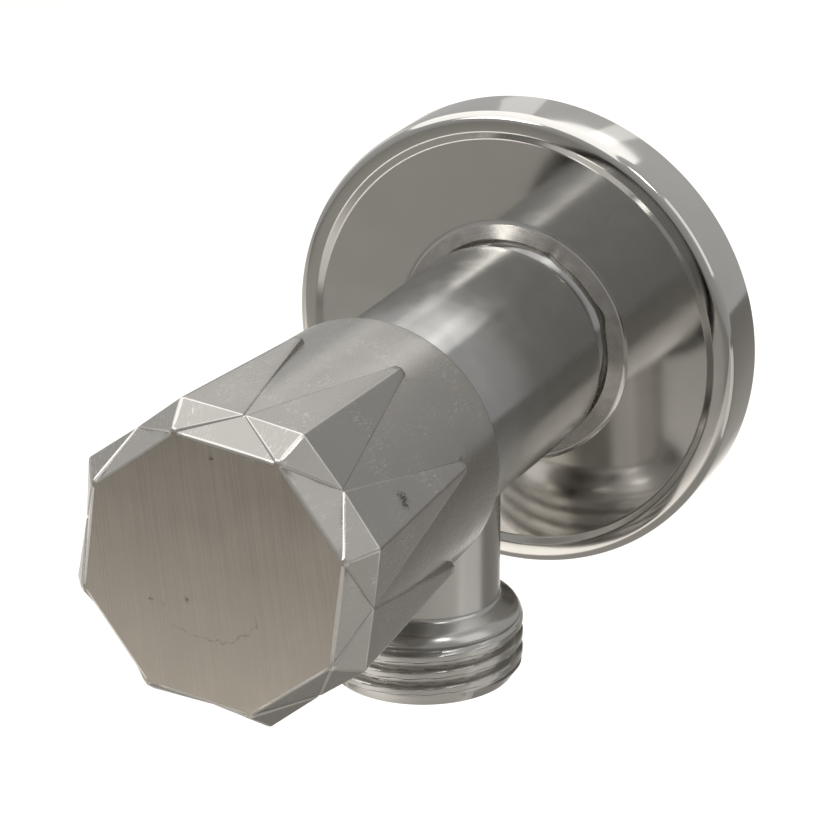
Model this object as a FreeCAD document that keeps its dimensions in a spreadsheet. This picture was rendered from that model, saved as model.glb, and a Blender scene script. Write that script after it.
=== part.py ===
"""Quarter-turn angle stop valve with a ceramic-disc cartridge, a faceted knob and a slip-on wall flange.

Every piece is drawn about one axis: its own z runs out of the wall along the inlet, its own y is up.
A station is a distance from the wall's surface along that axis. The last step turns the axis to -Y,
so the wall is the plane y = 0, the knob points to -Y and the outlet to -Z. Sizes are in millimetres.
"""
import FreeCAD, Part
import math
import os
import Sketcher

PARTS_FOLDER = "parts"

SIZES = {
    # threads and body
    "pipe_thread_diameter": 20.955,
    "pipe_thread_pitch": 1.814,
    "pipe_thread_depth": 0.85,
    "pipe_thread_groove_width": 1.3,
    "thread_chamfer": 1.0,
    "inlet_reach": 13.0,
    "inlet_shank_diameter": 20.4,
    "inlet_shank_length": 4.2,
    "shoulder_gap": 2.4,
    "tube_diameter": 23.4,
    "tube_chamfer": 0.6,
    "body_front_station": 46.0,
    "inlet_bore_diameter": 13.0,
    "seat_station": 18.0,
    "web_thickness": 3.0,
    "throat_diameter": 9.6,
    "chamber_diameter": 18.2,
    "chamber_end_station": 36.0,
    # outlet
    "outlet_station": 28.9,
    "outlet_reach": 29.0,
    "outlet_thread_length": 7.3,
    "outlet_cone_length": 1.4,
    "outlet_shoulder_round": 2.3,
    "neck_diameter": 16.1,
    "neck_round": 0.7,
    "outlet_bore_diameter": 12.6,
    # wall flange
    "flange_diameter": 50.8,
    "flange_depth": 6.8,
    "flange_sheet": 0.9,
    "flange_corner": 1.7,
    "flange_bead_width": 2.1,
    "flange_bead_height": 0.32,
    "flange_bead_blend": 0.8,
    "flange_hole_diameter": 21.8,
    "flange_lip_width": 1.5,
    "flange_lip_height": 0.6,
    "flange_lip_round": 0.48,
    # cartridge housing
    "cartridge_thread_diameter": 19.0,
    "thread_clearance": 0.05,
    "skirt_diameter": 15.8,
    "skirt_bore_diameter": 14.3,
    "skirt_gap": 0.8,
    "housing_thread_gap": 0.5,
    "housing_thread_taper": 1.1,
    "seal_land": 0.4,
    "seal_groove_width": 1.7,
    "seal_groove_depth": 1.25,
    "collar_diameter": 22.4,
    "collar_height": 1.3,
    "hexagon_width": 19.0,
    "hexagon_height": 4.0,
    "gland_diameter": 12.4,
    "gland_height": 2.2,
    "window_width": 10.0,
    "window_margin": 0.3,
    "key_width": 3.0,
    "key_clearance": 0.1,
    "stop_angle": 30.0,
    "stop_inner_diameter": 10.8,
    "stop_foot_gap": 0.1,
    # discs and seals
    "seat_seal_thickness": 2.6,
    "seat_seal_bore": 10.0,
    "disc_diameter": 14.0,
    "fixed_disc_thickness": 2.8,
    "moving_disc_thickness": 3.2,
    "disc_film": 0.02,
    "disc_play": 0.05,
    "port_diameter": 9.4,
    "port_hub_diameter": 3.2,
    "port_angle": 80.0,
    "ring_play": 0.03,
    # spindle
    "quarter_turn": 90.0,
    "stop_clearance_angle": 2.0,
    "spindle_diameter": 8.0,
    "spindle_play": 0.04,
    "tang_thickness": 3.6,
    "tang_width": 11.0,
    "tang_depth": 1.4,
    "tang_play": 0.05,
    "flow_gap": 3.0,
    "spindle_collar_diameter": 13.8,
    "spindle_collar_height": 2.5,
    "thrust_washer_thickness": 0.6,
    "thrust_washer_play": 0.05,
    "washer_bore_play": 0.15,
    "washer_rim_play": 0.2,
    "spindle_ring_section": 1.2,
    "spindle_groove_width": 1.5,
    "first_ring_station": 38.2,
    "second_ring_station": 42.4,
    "clip_thickness": 0.8,
    "clip_diameter": 11.6,
    "clip_groove_diameter": 6.4,
    "clip_play": 0.05,
    "clip_mouth_angle": 70.0,
    "spline_diameter": 7.8,
    "spline_root_diameter": 7.0,
    "spline_length": 8.0,
    "spline_start_gap": 0.6,
    "spline_play": 0.05,
    # knob
    "knob_rear_station": 40.2,
    "knob_mouth_clearance": 0.7,
    "knob_skirt_wall": 1.4,
    "knob_front_station": 75.6,
    "knob_front_wall": 3.2,
    "knob_front_skirt_wall": 2.1,
    "knob_flare": 3.0,
    "knob_bevel_length": 3.0,
    "knob_bevel_width": 2.1,
    "knob_point_station": 49.7,
    "knob_point_rise": 1.35,
    "knob_point_width": 1.3,
    "knob_point_gap": 0.2,
    "knob_middle_recess": 0.48,
    "knob_middle_fall": 0.13,
    "knob_tip_width": 0.5,
    "knob_facet_step": 0.15,
    "knob_skirt_inset": 0.05,
    "knob_turn_angle": 15.2,
    "knob_rim_round": 0.4,
    "hub_diameter": 16.4,
    "hub_gap": 0.5,
    "insert_diameter": 12.4,
    "insert_length": 10.0,
    "insert_fit": 0.02,
    "insert_recess": 0.2,
    "insert_end_gap": 0.1,
    "insert_hole_play": 0.1,
    "screw_diameter": 4.0,
    "screw_recess": 0.6,
    "screw_point": 0.6,
    "screw_station": 59.0,
    "screw_rib_width": 8.0,
    "screw_fit": 0.02,
    "screw_socket_width": 2.0,
    "screw_socket_depth": 2.2,
    "screw_gap": 0.1,
    # how far a form reaches into the one that it is fused with, and how far a cutter reaches past a face
    "fused_overlap": 0.5,
    "cutter_spare": 1.0,
}

SPLINE_TEETH = 20
SPLINE_TIP_SHARE = 0.12
SPLINE_ROOT_SHARE = 0.30
KNOB_SIDES = 8
INLET_THREAD_GROOVES = 8
OUTLET_THREAD_GROOVES = 3
MOUTH_SHARE = 0.1

# Lengths and stations that several pieces share, worked out from the sheet.
THREAD_RADIUS = "Sizes.pipe_thread_diameter / 2"
TUBE_RADIUS = "Sizes.tube_diameter / 2"
SHOULDER = "(Sizes.flange_depth + Sizes.shoulder_gap)"
WEB_BACK = "(Sizes.seat_station - Sizes.web_thickness)"
SKIRT_END = "(Sizes.seat_station + Sizes.skirt_gap)"
FIXED_DISC_BACK = "(Sizes.seat_station + Sizes.seat_seal_thickness)"
FIXED_DISC_FRONT = f"({FIXED_DISC_BACK} + Sizes.fixed_disc_thickness)"
MOVING_DISC_BACK = f"({FIXED_DISC_FRONT} + Sizes.disc_film)"
MOVING_DISC_FRONT = f"({MOVING_DISC_BACK} + Sizes.moving_disc_thickness)"
TANG_END = f"({MOVING_DISC_FRONT} - Sizes.tang_depth)"
COLLAR_BACK = f"({MOVING_DISC_FRONT} + Sizes.flow_gap)"
STOP_BACK = f"({COLLAR_BACK} + Sizes.stop_foot_gap)"
COLLAR_FRONT = f"({COLLAR_BACK} + Sizes.spindle_collar_height)"
WASHER_FRONT = f"({COLLAR_FRONT} + Sizes.thrust_washer_thickness)"
HOUSING_STEP = f"({WASHER_FRONT} + Sizes.thrust_washer_play)"
COLLAR_SEAT = "Sizes.body_front_station"
HEX_BACK = f"({COLLAR_SEAT} + Sizes.collar_height)"
HEX_FRONT = f"({HEX_BACK} + Sizes.hexagon_height)"
GLAND_FRONT = f"({HEX_FRONT} + Sizes.gland_height)"
CLIP_BACK = f"({GLAND_FRONT} + Sizes.clip_play)"
CLIP_FRONT = f"({CLIP_BACK} + Sizes.clip_thickness)"
SPLINE_BACK = f"({CLIP_FRONT} + Sizes.spline_start_gap)"
SPINDLE_END = f"({SPLINE_BACK} + Sizes.spline_length)"
CARTRIDGE_RADIUS = "(Sizes.cartridge_thread_diameter / 2 - Sizes.thread_clearance)"
SPINDLE_BORE_RADIUS = "(Sizes.spindle_diameter / 2 + Sizes.spindle_play)"
HUB_BACK = f"({CLIP_FRONT} + Sizes.hub_gap)"
INSERT_BACK = f"({HUB_BACK} + Sizes.insert_recess)"
INSERT_FRONT = f"({INSERT_BACK} + Sizes.insert_length)"
HALF_SIDE = 180.0 / KNOB_SIDES
SCREW_ANGLE = 5.5 * 360.0 / KNOB_SIDES
KNOB_EDGE = "(Sizes.knob_front_station - Sizes.knob_bevel_length)"
KNOB_MOUTH = f"({TUBE_RADIUS} + Sizes.knob_mouth_clearance)"
KNOB_REAR = f"({KNOB_MOUTH} + Sizes.knob_skirt_wall)"
KNOB_CORNER = f"({KNOB_REAR} + Sizes.knob_flare)"
KNOB_FACE = f"({KNOB_CORNER} - Sizes.knob_bevel_width)"
SIDE_COSINE = f"{math.cos(math.pi / KNOB_SIDES):.9f}"
SIDE_SINE = f"{math.sin(math.pi / KNOB_SIDES):.9f}"
KNOB_MIDDLE = f"({KNOB_CORNER} * {SIDE_COSINE} - Sizes.knob_middle_fall)"
KNOB_MIDDLE_STATION = f"({KNOB_EDGE} - Sizes.knob_middle_recess)"
KNOB_CORE = f"({KNOB_MIDDLE} - Sizes.knob_facet_step)"
POINT_FALL = f"({KNOB_CORNER} - {KNOB_MIDDLE} * {SIDE_COSINE})"
POINT_SLOPE = f"({POINT_FALL} / ({KNOB_MIDDLE} * {SIDE_SINE}))"
POINT_LEAN = f"(Sizes.knob_middle_recess / {POINT_FALL})"
SCREW_TIP = "(Sizes.spline_diameter / 2 + Sizes.screw_gap)"
SCREW_LENGTH = f"({KNOB_REAR} - Sizes.screw_recess - {SCREW_TIP})"

doc = FreeCAD.newDocument("angle_valve")


def fill_sheet():
    """Write every driving dimension into the spreadsheet, one alias each."""
    sheet = doc.addObject("Spreadsheet::Sheet", "Sizes")
    for row, (alias, number) in enumerate(SIZES.items(), start=1):
        sheet.set(f"A{row}", alias.replace("_", " "))
        sheet.set(f"B{row}", str(number))
        sheet.setAlias(f"B{row}", alias)
    doc.recompute()
    return sheet


sheet = fill_sheet()


def value(expression):
    """The number that a sheet expression gives now."""
    result = sheet.evalExpression(str(expression))
    return float(getattr(result, "Value", result))


def origin_plane(body, role):
    """One of a body's own origin planes, found by its role."""
    return next(feature for feature in body.Origin.OriginFeatures if feature.Role == role)


def new_body(label):
    """An empty body whose label is the name of the finished piece."""
    body = doc.addObject("PartDesign::Body", label)
    body.Label = label
    return body


def new_sketch(body, name, role="XZ_Plane", offset="0"):
    """A sketch on one of the body's planes, moved out along the plane's normal by a sheet expression."""
    sketch = body.newObject("Sketcher::SketchObject", f"{body.Label}_{name}")
    sketch.AttachmentSupport = (origin_plane(body, role), [""])
    sketch.MapMode = "FlatFace"
    sketch.setExpression("AttachmentOffset.Base.z", offset)
    return sketch


def dimension(sketch, kind, axis, line, expression):
    """Hold a line's start at a distance from the sketch's origin, or on its axis where that is zero."""
    if abs(value(expression)) < 1e-9:
        sketch.addConstraint(Sketcher.Constraint("PointOnObject", line, 1, axis))
        return
    number = value(expression)
    index = sketch.addConstraint(Sketcher.Constraint(kind, -1, 1, line, 1, number))
    sketch.setExpression(f"Constraints[{index}]", str(expression))


def draw_outline(sketch, corners):
    """A closed outline of straight lines; each corner is a pair of sheet expressions."""
    first = sketch.GeometryCount
    points = [FreeCAD.Vector(value(across), value(along), 0) for across, along in corners]
    count = len(points)
    for index in range(count):
        sketch.addGeometry(Part.LineSegment(points[index], points[(index + 1) % count]), False)
    for index in range(count):
        following = first + (index + 1) % count
        sketch.addConstraint(Sketcher.Constraint("Coincident", first + index, 2, following, 1))
    for index, (across, along) in enumerate(corners):
        dimension(sketch, "DistanceX", -2, first + index, across)
        dimension(sketch, "DistanceY", -1, first + index, along)


def draw_circle(sketch, radius):
    """A circle about the sketch's origin."""
    index = sketch.addGeometry(Part.Circle(FreeCAD.Vector(), FreeCAD.Vector(0, 0, 1), value(radius)), False)
    sketch.addConstraint(Sketcher.Constraint("Coincident", index, 3, -1, 1))
    datum = sketch.addConstraint(Sketcher.Constraint("Radius", index, value(radius)))
    sketch.setExpression(f"Constraints[{datum}]", radius)


def polar_corner(radius, angle):
    """A corner of an outline given by a radius expression and an angle in degrees."""
    across = f"({radius}) * {math.cos(math.radians(angle)):.9f}"
    along = f"({radius}) * {math.sin(math.radians(angle)):.9f}"
    return across, along


def rectangle(half_width, low, high):
    """Corners of a rectangle that lies evenly to both sides of a sketch's own upright axis."""
    return [(f"-{half_width}", low), (half_width, low), (half_width, high), (f"-{half_width}", high)]


def turn(body, name, corners, kind="PartDesign::Revolution"):
    """A full turn of an outline of (radius, station) corners about the piece's axis."""
    sketch = new_sketch(body, f"{name}_outline")
    draw_outline(sketch, corners)
    feature = body.newObject(kind, f"{body.Label}_{name}")
    feature.Profile = sketch
    feature.ReferenceAxis = (sketch, ["V_Axis"])
    feature.Angle = 360.0
    doc.recompute()
    return feature


def pad(body, name, sketch, length):
    """Extrude a sketch out of its plane by a sheet expression."""
    feature = body.newObject("PartDesign::Pad", f"{body.Label}_{name}")
    feature.Profile = sketch
    feature.setExpression("Length", length)
    doc.recompute()
    return feature


def pocket_through(body, name, sketch):
    """Cut a sketch through the whole piece, to both sides of its plane, and see that it cuts."""
    before = body.Shape.Volume
    feature = body.newObject("PartDesign::Pocket", f"{body.Label}_{name}")
    feature.Profile = sketch
    feature.Type = "ThroughAll"
    feature.Midplane = True
    doc.recompute()
    if body.Shape.Volume > before - 1e-3:
        raise RuntimeError(f"{name} cuts nothing")
    return feature


def pocket_blind(body, name, sketch, depth, reverse=False):
    """Cut a sketch to a depth given by a sheet expression, and see that it cuts."""
    before = body.Shape.Volume
    feature = body.newObject("PartDesign::Pocket", f"{body.Label}_{name}")
    feature.Profile = sketch
    feature.Reversed = reverse
    feature.setExpression("Length", depth)
    doc.recompute()
    if body.Shape.Volume > before - 1e-3:
        raise RuntimeError(f"{name} cuts nothing")
    return feature


def sector(body, name, radius, back, height, start, sweep, cut=False):
    """A slice of a cylinder about the axis, added or cut; start and sweep are angle expressions."""
    kind = "PartDesign::SubtractiveCylinder" if cut else "PartDesign::AdditiveCylinder"
    feature = body.newObject(kind, f"{body.Label}_{name}")
    feature.AttachmentSupport = (origin_plane(body, "XY_Plane"), [""])
    feature.MapMode = "FlatFace"
    feature.setExpression("Radius", radius)
    feature.setExpression("Height", height)
    feature.setExpression("Angle", sweep)
    feature.setExpression("AttachmentOffset.Base.z", back)
    feature.setExpression("AttachmentOffset.Rotation.Angle", start)
    doc.recompute()
    return feature


def repeat(body, name, originals, count):
    """Repeat features evenly about the axis."""
    feature = body.newObject("PartDesign::PolarPattern", f"{body.Label}_{name}")
    feature.Originals = originals
    axis = next(item for item in body.Origin.OriginFeatures if item.Role == "Z_Axis")
    feature.Axis = (axis, [""])
    feature.Angle = 360.0
    feature.Occurrences = count
    body.Tip = feature
    doc.recompute()
    return feature


def on_inlet_axis(station):
    """The place on the inlet's axis at a station."""
    return FreeCAD.Vector(0, 0, value(station))


def on_outlet_axis(depth):
    """The place on the outlet's axis at a depth below the inlet's."""
    return FreeCAD.Vector(0, -value(depth), value("Sizes.outlet_station"))


def ring_edges(shape, rings, centre):
    """Names of the round edges that have one of the given (radius, place along the axis) pairs."""
    wanted = [(value(radius), centre(along)) for radius, along in rings]
    names = []
    for index, edge in enumerate(shape.Edges, start=1):
        curve = edge.Curve
        if not isinstance(curve, Part.Circle):
            continue
        for radius, place in wanted:
            same_size = abs(curve.Radius - radius) < 1e-4
            same_place = curve.Center.isEqual(place, 1e-4)
            if same_size and same_place:
                names.append(f"Edge{index}")
    return names


def soften(body, name, rings, size, kind="PartDesign::Fillet", centre=on_inlet_axis):
    """Round or chamfer round edges, each found by its radius and its place along an axis."""
    base = body.Tip
    names = ring_edges(base.Shape, rings, centre)
    if len(names) < len(rings):
        raise RuntimeError(f"{body.Label}: an edge for {name} is missing")
    feature = body.newObject(kind, f"{body.Label}_{name}")
    feature.Base = (base, names)
    feature.setExpression("Radius" if kind == "PartDesign::Fillet" else "Size", size)
    doc.recompute()
    return feature


def torus(label, radius, section, station):
    """A plain rubber ring about the axis."""
    ring = doc.addObject("Part::Torus", label)
    ring.Label = label
    ring.setExpression("Radius1", radius)
    ring.setExpression("Radius2", f"({section}) / 2")
    ring.setExpression("Placement.Base.z", station)
    return ring


def build_valve_body():
    """The steel body: inlet thread, tube with its web and chambers, and the outlet at right angles."""
    body = new_body("valve_body")
    shank_back = f"({SHOULDER} - Sizes.inlet_shank_length)"
    tube = [
        ("0", "-Sizes.inlet_reach"),
        (THREAD_RADIUS, "-Sizes.inlet_reach"),
        (THREAD_RADIUS, shank_back),
        ("Sizes.inlet_shank_diameter / 2", shank_back),
        ("Sizes.inlet_shank_diameter / 2", SHOULDER),
        (TUBE_RADIUS, SHOULDER),
        (TUBE_RADIUS, "Sizes.body_front_station"),
        ("0", "Sizes.body_front_station"),
    ]
    turn(body, "tube", tube)
    add_outlet(body)
    waterway = [
        ("0", "-Sizes.inlet_reach - Sizes.cutter_spare"),
        ("Sizes.inlet_bore_diameter / 2", "-Sizes.inlet_reach - Sizes.cutter_spare"),
        ("Sizes.inlet_bore_diameter / 2", WEB_BACK),
        ("Sizes.throat_diameter / 2", WEB_BACK),
        ("Sizes.throat_diameter / 2", "Sizes.seat_station"),
        ("Sizes.chamber_diameter / 2", "Sizes.seat_station"),
        ("Sizes.chamber_diameter / 2", "Sizes.chamber_end_station"),
        ("Sizes.cartridge_thread_diameter / 2", "Sizes.chamber_end_station"),
        ("Sizes.cartridge_thread_diameter / 2", "Sizes.body_front_station + Sizes.cutter_spare"),
        ("0", "Sizes.body_front_station + Sizes.cutter_spare"),
    ]
    turn(body, "waterway", waterway, "PartDesign::Groove")
    bore_outlet(body)
    soften(body, "inlet_end", [(THREAD_RADIUS, "-Sizes.inlet_reach")], "Sizes.thread_chamfer",
           "PartDesign::Chamfer")
    tube_ends = [(TUBE_RADIUS, SHOULDER), (TUBE_RADIUS, "Sizes.body_front_station")]
    shoulder_step = f"({TUBE_RADIUS} - Sizes.inlet_shank_diameter / 2)"
    chamfer = f"min(Sizes.tube_chamfer; {shoulder_step} / 2)"
    soften(body, "tube_ends", tube_ends, chamfer, "PartDesign::Chamfer")
    cut_inlet_thread(body)
    cut_outlet_thread(body)
    return body


def thread_grooves(count):
    """The pipe thread as plain rings: each groove's (radius, distance from the thread's end) corners."""
    half = f"Sizes.pipe_thread_groove_width / 2 * {1 + MOUTH_SHARE}"
    mouth = f"({THREAD_RADIUS} + Sizes.pipe_thread_depth * {MOUTH_SHARE})"
    root = f"({THREAD_RADIUS} - Sizes.pipe_thread_depth)"
    for groove in range(1, count + 1):
        middle = f"Sizes.pipe_thread_pitch * {groove}"
        yield [(mouth, f"({middle} - {half})"), (mouth, f"({middle} + {half})"), (root, f"({middle})")]


def cut_inlet_thread(body):
    """Cut the inlet thread's rings, counted from its end behind the wall."""
    sketch = new_sketch(body, "inlet_thread_outline")
    for corners in thread_grooves(INLET_THREAD_GROOVES):
        draw_outline(sketch, [(radius, f"{along} - Sizes.inlet_reach") for radius, along in corners])
    groove = body.newObject("PartDesign::Groove", "valve_body_inlet_thread")
    groove.Profile = sketch
    groove.ReferenceAxis = (sketch, ["V_Axis"])
    groove.Angle = 360.0
    doc.recompute()


def cut_outlet_thread(body):
    """Cut the outlet thread's rings, counted from its lower end."""
    wanted = [[(radius, f"-(Sizes.outlet_reach - {along})") for radius, along in corners]
              for corners in thread_grooves(OUTLET_THREAD_GROOVES)]
    turn_outlet(body, "outlet_thread", wanted, "PartDesign::Groove")


def turn_outlet(body, name, outlines, kind="PartDesign::Revolution"):
    """A full turn of half outlines about the outlet's axis, each of (radius, height) corners."""
    sketch = new_sketch(body, f"{name}_outline", "YZ_Plane")
    for corners in outlines:
        draw_outline(sketch, [(height, f"Sizes.outlet_station + {radius}") for radius, height in corners])
    axis = sketch.addGeometry(Part.LineSegment(
        FreeCAD.Vector(0, value("Sizes.outlet_station"), 0),
        FreeCAD.Vector(-value("Sizes.outlet_reach"), value("Sizes.outlet_station"), 0)), True)
    sketch.addConstraint(Sketcher.Constraint("PointOnObject", axis, 1, -2))
    sketch.addConstraint(Sketcher.Constraint("Horizontal", axis))
    rise = Sketcher.Constraint("DistanceY", -1, 1, axis, 1, value("Sizes.outlet_station"))
    sketch.setExpression(f"Constraints[{sketch.addConstraint(rise)}]", "Sizes.outlet_station")
    reach = Sketcher.Constraint("DistanceX", axis, 2, axis, 1, value("Sizes.outlet_reach"))
    sketch.setExpression(f"Constraints[{sketch.addConstraint(reach)}]", "Sizes.outlet_reach")
    before = body.Shape.Volume
    feature = body.newObject(kind, f"valve_body_{name}")
    feature.Profile = sketch
    feature.ReferenceAxis = (sketch, ["Axis0"])
    feature.Angle = 360.0
    doc.recompute()
    if abs(body.Shape.Volume - before) < 1e-3:
        raise RuntimeError(f"{name} changes nothing")


def add_outlet(body):
    """The outlet's neck, its rounded shoulder and the cylinder that carries the pipe thread."""
    thread_depth = "(Sizes.outlet_reach - Sizes.outlet_thread_length)"
    cone_depth = "(Sizes.outlet_reach - Sizes.outlet_thread_length - Sizes.outlet_cone_length)"
    end_radius = f"({THREAD_RADIUS} - Sizes.thread_chamfer)"
    corners = [
        ("0", "0"),
        ("Sizes.neck_diameter / 2", "0"),
        ("Sizes.neck_diameter / 2", f"-{cone_depth}"),
        (THREAD_RADIUS, f"-{thread_depth}"),
        (THREAD_RADIUS, "-(Sizes.outlet_reach - Sizes.thread_chamfer)"),
        (end_radius, "-Sizes.outlet_reach"),
        ("0", "-Sizes.outlet_reach"),
    ]
    turn_outlet(body, "outlet", [corners])
    soften(body, "outlet_shoulder", [(THREAD_RADIUS, thread_depth)], "Sizes.outlet_shoulder_round",
           centre=on_outlet_axis)
    soften(body, "outlet_neck", [("Sizes.neck_diameter / 2", cone_depth)], "Sizes.neck_round",
           centre=on_outlet_axis)


def bore_outlet(body):
    """The drilled way from the chamber down through the outlet."""
    radius = "Sizes.outlet_bore_diameter / 2"
    end = "-(Sizes.outlet_reach + Sizes.cutter_spare)"
    corners = [("0", "0"), (radius, "0"), (radius, end), ("0", end)]
    turn_outlet(body, "outlet_bore", [corners], "PartDesign::Groove")


def build_wall_flange():
    """The drawn sheet cover: a shallow cup with a raised bead and a rolled lip round its hole."""
    body = new_body("wall_flange")
    outer = "Sizes.flange_diameter / 2"
    sheet_metal = "Sizes.flange_sheet"
    hole = "Sizes.flange_hole_diameter / 2"
    lip = f"({hole} + Sizes.flange_lip_width)"
    crest = "(Sizes.flange_depth + Sizes.flange_lip_height)"
    bead = f"({outer} - Sizes.flange_bead_width)"
    face = "(Sizes.flange_depth - Sizes.flange_bead_height)"
    profile = [
        (outer, "0"),
        (outer, "Sizes.flange_depth"),
        (bead, "Sizes.flange_depth"),
        (f"{bead} - Sizes.flange_bead_blend", face),
        (lip, face),
        (f"{lip} - Sizes.flange_lip_height", crest),
        (hole, crest),
        (hole, f"{face} - {sheet_metal}"),
        (f"{outer} - {sheet_metal}", f"{face} - {sheet_metal}"),
        (f"{outer} - {sheet_metal}", "0"),
    ]
    turn(body, "cup", profile)
    inner_ring = (f"{outer} - {sheet_metal}", f"{face} - {sheet_metal}")
    soften(body, "corner", [(outer, "Sizes.flange_depth")], "Sizes.flange_corner")
    soften(body, "inner_corner", [inner_ring], f"(Sizes.flange_corner - {sheet_metal})")
    soften(body, "lip_round", [(hole, crest)], "Sizes.flange_lip_round")
    return body


def build_seat_seal():
    """The rubber ring between the body's web and the fixed disc."""
    body = new_body("seat_seal")
    inner = "Sizes.seat_seal_bore / 2"
    outer = "Sizes.disc_diameter / 2"
    profile = [(inner, "Sizes.seat_station"), (outer, "Sizes.seat_station"),
               (outer, FIXED_DISC_BACK), (inner, FIXED_DISC_BACK)]
    turn(body, "ring", profile)
    return body


def cut_ports(body, back, thickness, start):
    """Cut two opposite sector ports through a disc and put its middle back."""
    for name, turned in (("first_port", "0"), ("second_port", "180")):
        angle = f"({start} + {turned} - Sizes.port_angle / 2)"
        sector(body, name, "Sizes.port_diameter / 2", back, thickness, angle, "Sizes.port_angle", cut=True)
    sector(body, "hub", "Sizes.port_hub_diameter / 2", back, thickness, "0", "360")


def build_fixed_disc():
    """The ceramic disc that stays still, keyed into the skirt by two ears."""
    body = new_body("fixed_disc")
    sector(body, "disc", "Sizes.disc_diameter / 2", FIXED_DISC_BACK, "Sizes.fixed_disc_thickness", "0", "360")
    ear = new_sketch(body, "ear_outline", "XY_Plane", FIXED_DISC_BACK)
    reach = "Sizes.skirt_diameter / 2"
    half = "Sizes.key_width / 2"
    draw_outline(ear, rectangle(reach, f"-{half}", half))
    pad(body, "ears", ear, "Sizes.fixed_disc_thickness")
    cut_ports(body, FIXED_DISC_BACK, "Sizes.fixed_disc_thickness", "0")
    return body


def build_moving_disc():
    """The ceramic disc that the spindle turns, with a slot across its front."""
    body = new_body("moving_disc")
    thickness = "Sizes.moving_disc_thickness"
    radius = "(Sizes.disc_diameter / 2 - Sizes.disc_play)"
    sector(body, "disc", radius, MOVING_DISC_BACK, thickness, "0", "360")
    cut_ports(body, MOVING_DISC_BACK, thickness, "90")
    slot = new_sketch(body, "slot_outline", "XY_Plane", TANG_END)
    across = "(Sizes.tang_width / 2 + Sizes.tang_play)"
    half = "(Sizes.tang_thickness / 2 + Sizes.tang_play)"
    draw_outline(slot, rectangle(across, f"-{half}", half))
    pocket_blind(body, "slot", slot, "Sizes.tang_depth + Sizes.cutter_spare", reverse=True)
    return body


def build_cartridge_housing():
    """The brass housing: windowed skirt, thread, seal groove, collar, hexagon and gland."""
    body = new_body("cartridge_housing")
    skirt = "Sizes.skirt_diameter / 2"
    skirt_bore = "Sizes.skirt_bore_diameter / 2"
    groove_front = f"({COLLAR_SEAT} - Sizes.seal_land)"
    groove_back = f"({COLLAR_SEAT} - Sizes.seal_land - Sizes.seal_groove_width)"
    thread_start = "(Sizes.chamber_end_station + Sizes.housing_thread_gap)"
    groove_floor = f"({CARTRIDGE_RADIUS} - Sizes.seal_groove_depth)"
    profile = [
        (skirt_bore, SKIRT_END),
        (skirt, SKIRT_END),
        (skirt, thread_start),
        (CARTRIDGE_RADIUS, f"({thread_start} + Sizes.housing_thread_taper)"),
        (CARTRIDGE_RADIUS, groove_back),
        (groove_floor, groove_back),
        (groove_floor, groove_front),
        (CARTRIDGE_RADIUS, groove_front),
        (CARTRIDGE_RADIUS, COLLAR_SEAT),
        ("Sizes.collar_diameter / 2", COLLAR_SEAT),
        ("Sizes.collar_diameter / 2", HEX_BACK),
        ("Sizes.gland_diameter / 2", HEX_BACK),
        ("Sizes.gland_diameter / 2", GLAND_FRONT),
        (SPINDLE_BORE_RADIUS, GLAND_FRONT),
        (SPINDLE_BORE_RADIUS, HOUSING_STEP),
        (skirt_bore, HOUSING_STEP),
    ]
    turn(body, "shell", profile)
    hexagon = new_sketch(body, "hexagon_outline", "XY_Plane", HEX_BACK)
    corner = f"(Sizes.hexagon_width / {2 * math.cos(math.pi / 6):.9f})"
    draw_outline(hexagon, [polar_corner(corner, 60 * side) for side in range(6)])
    draw_circle(hexagon, "Sizes.gland_diameter / 2 - Sizes.fused_overlap")
    pad(body, "hexagon", hexagon, "Sizes.hexagon_height")
    window = new_sketch(body, "window_outline", "XZ_Plane")
    half = "Sizes.window_width / 2"
    low = f"({MOVING_DISC_FRONT} - Sizes.window_margin)"
    draw_outline(window, rectangle(half, low, COLLAR_BACK))
    pocket_through(body, "windows", window)
    slot = new_sketch(body, "key_slot_outline", "YZ_Plane")
    width = "(Sizes.key_width / 2 + Sizes.key_clearance)"
    top = f"({FIXED_DISC_FRONT} + Sizes.key_clearance)"
    mouth = f"({SKIRT_END} - Sizes.cutter_spare)"
    draw_outline(slot, rectangle(width, mouth, top))
    pocket_through(body, "key_slots", slot)
    add_stop(body)
    return body


def add_stop(body):
    """The inside rib that ends the spindle's quarter turn, fused to the skirt's wall."""
    rib = new_sketch(body, "stop_outline", "XY_Plane", STOP_BACK)
    half = value("Sizes.stop_angle") / 2
    inner = "Sizes.stop_inner_diameter / 2"
    outer = "(Sizes.skirt_bore_diameter / 2 + Sizes.fused_overlap / 2)"
    corners = [polar_corner(inner, 90 - half), polar_corner(outer, 90 - half), polar_corner(outer, 90),
               polar_corner(outer, 90 + half), polar_corner(inner, 90 + half), polar_corner(inner, 90)]
    draw_outline(rib, corners)
    pad(body, "stop", rib, f"({HOUSING_STEP} - {STOP_BACK})")


def spline_outline(sketch, tip, root):
    """The toothed outline of a splined shaft or bore; tip and root are radius expressions."""
    step = 360.0 / SPLINE_TEETH
    corners = []
    for tooth in range(SPLINE_TEETH):
        middle = tooth * step
        corners.append(polar_corner(root, middle - SPLINE_ROOT_SHARE * step))
        corners.append(polar_corner(tip, middle - SPLINE_TIP_SHARE * step))
        corners.append(polar_corner(tip, middle + SPLINE_TIP_SHARE * step))
        corners.append(polar_corner(root, middle + SPLINE_ROOT_SHARE * step))
    draw_outline(sketch, corners)


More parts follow.
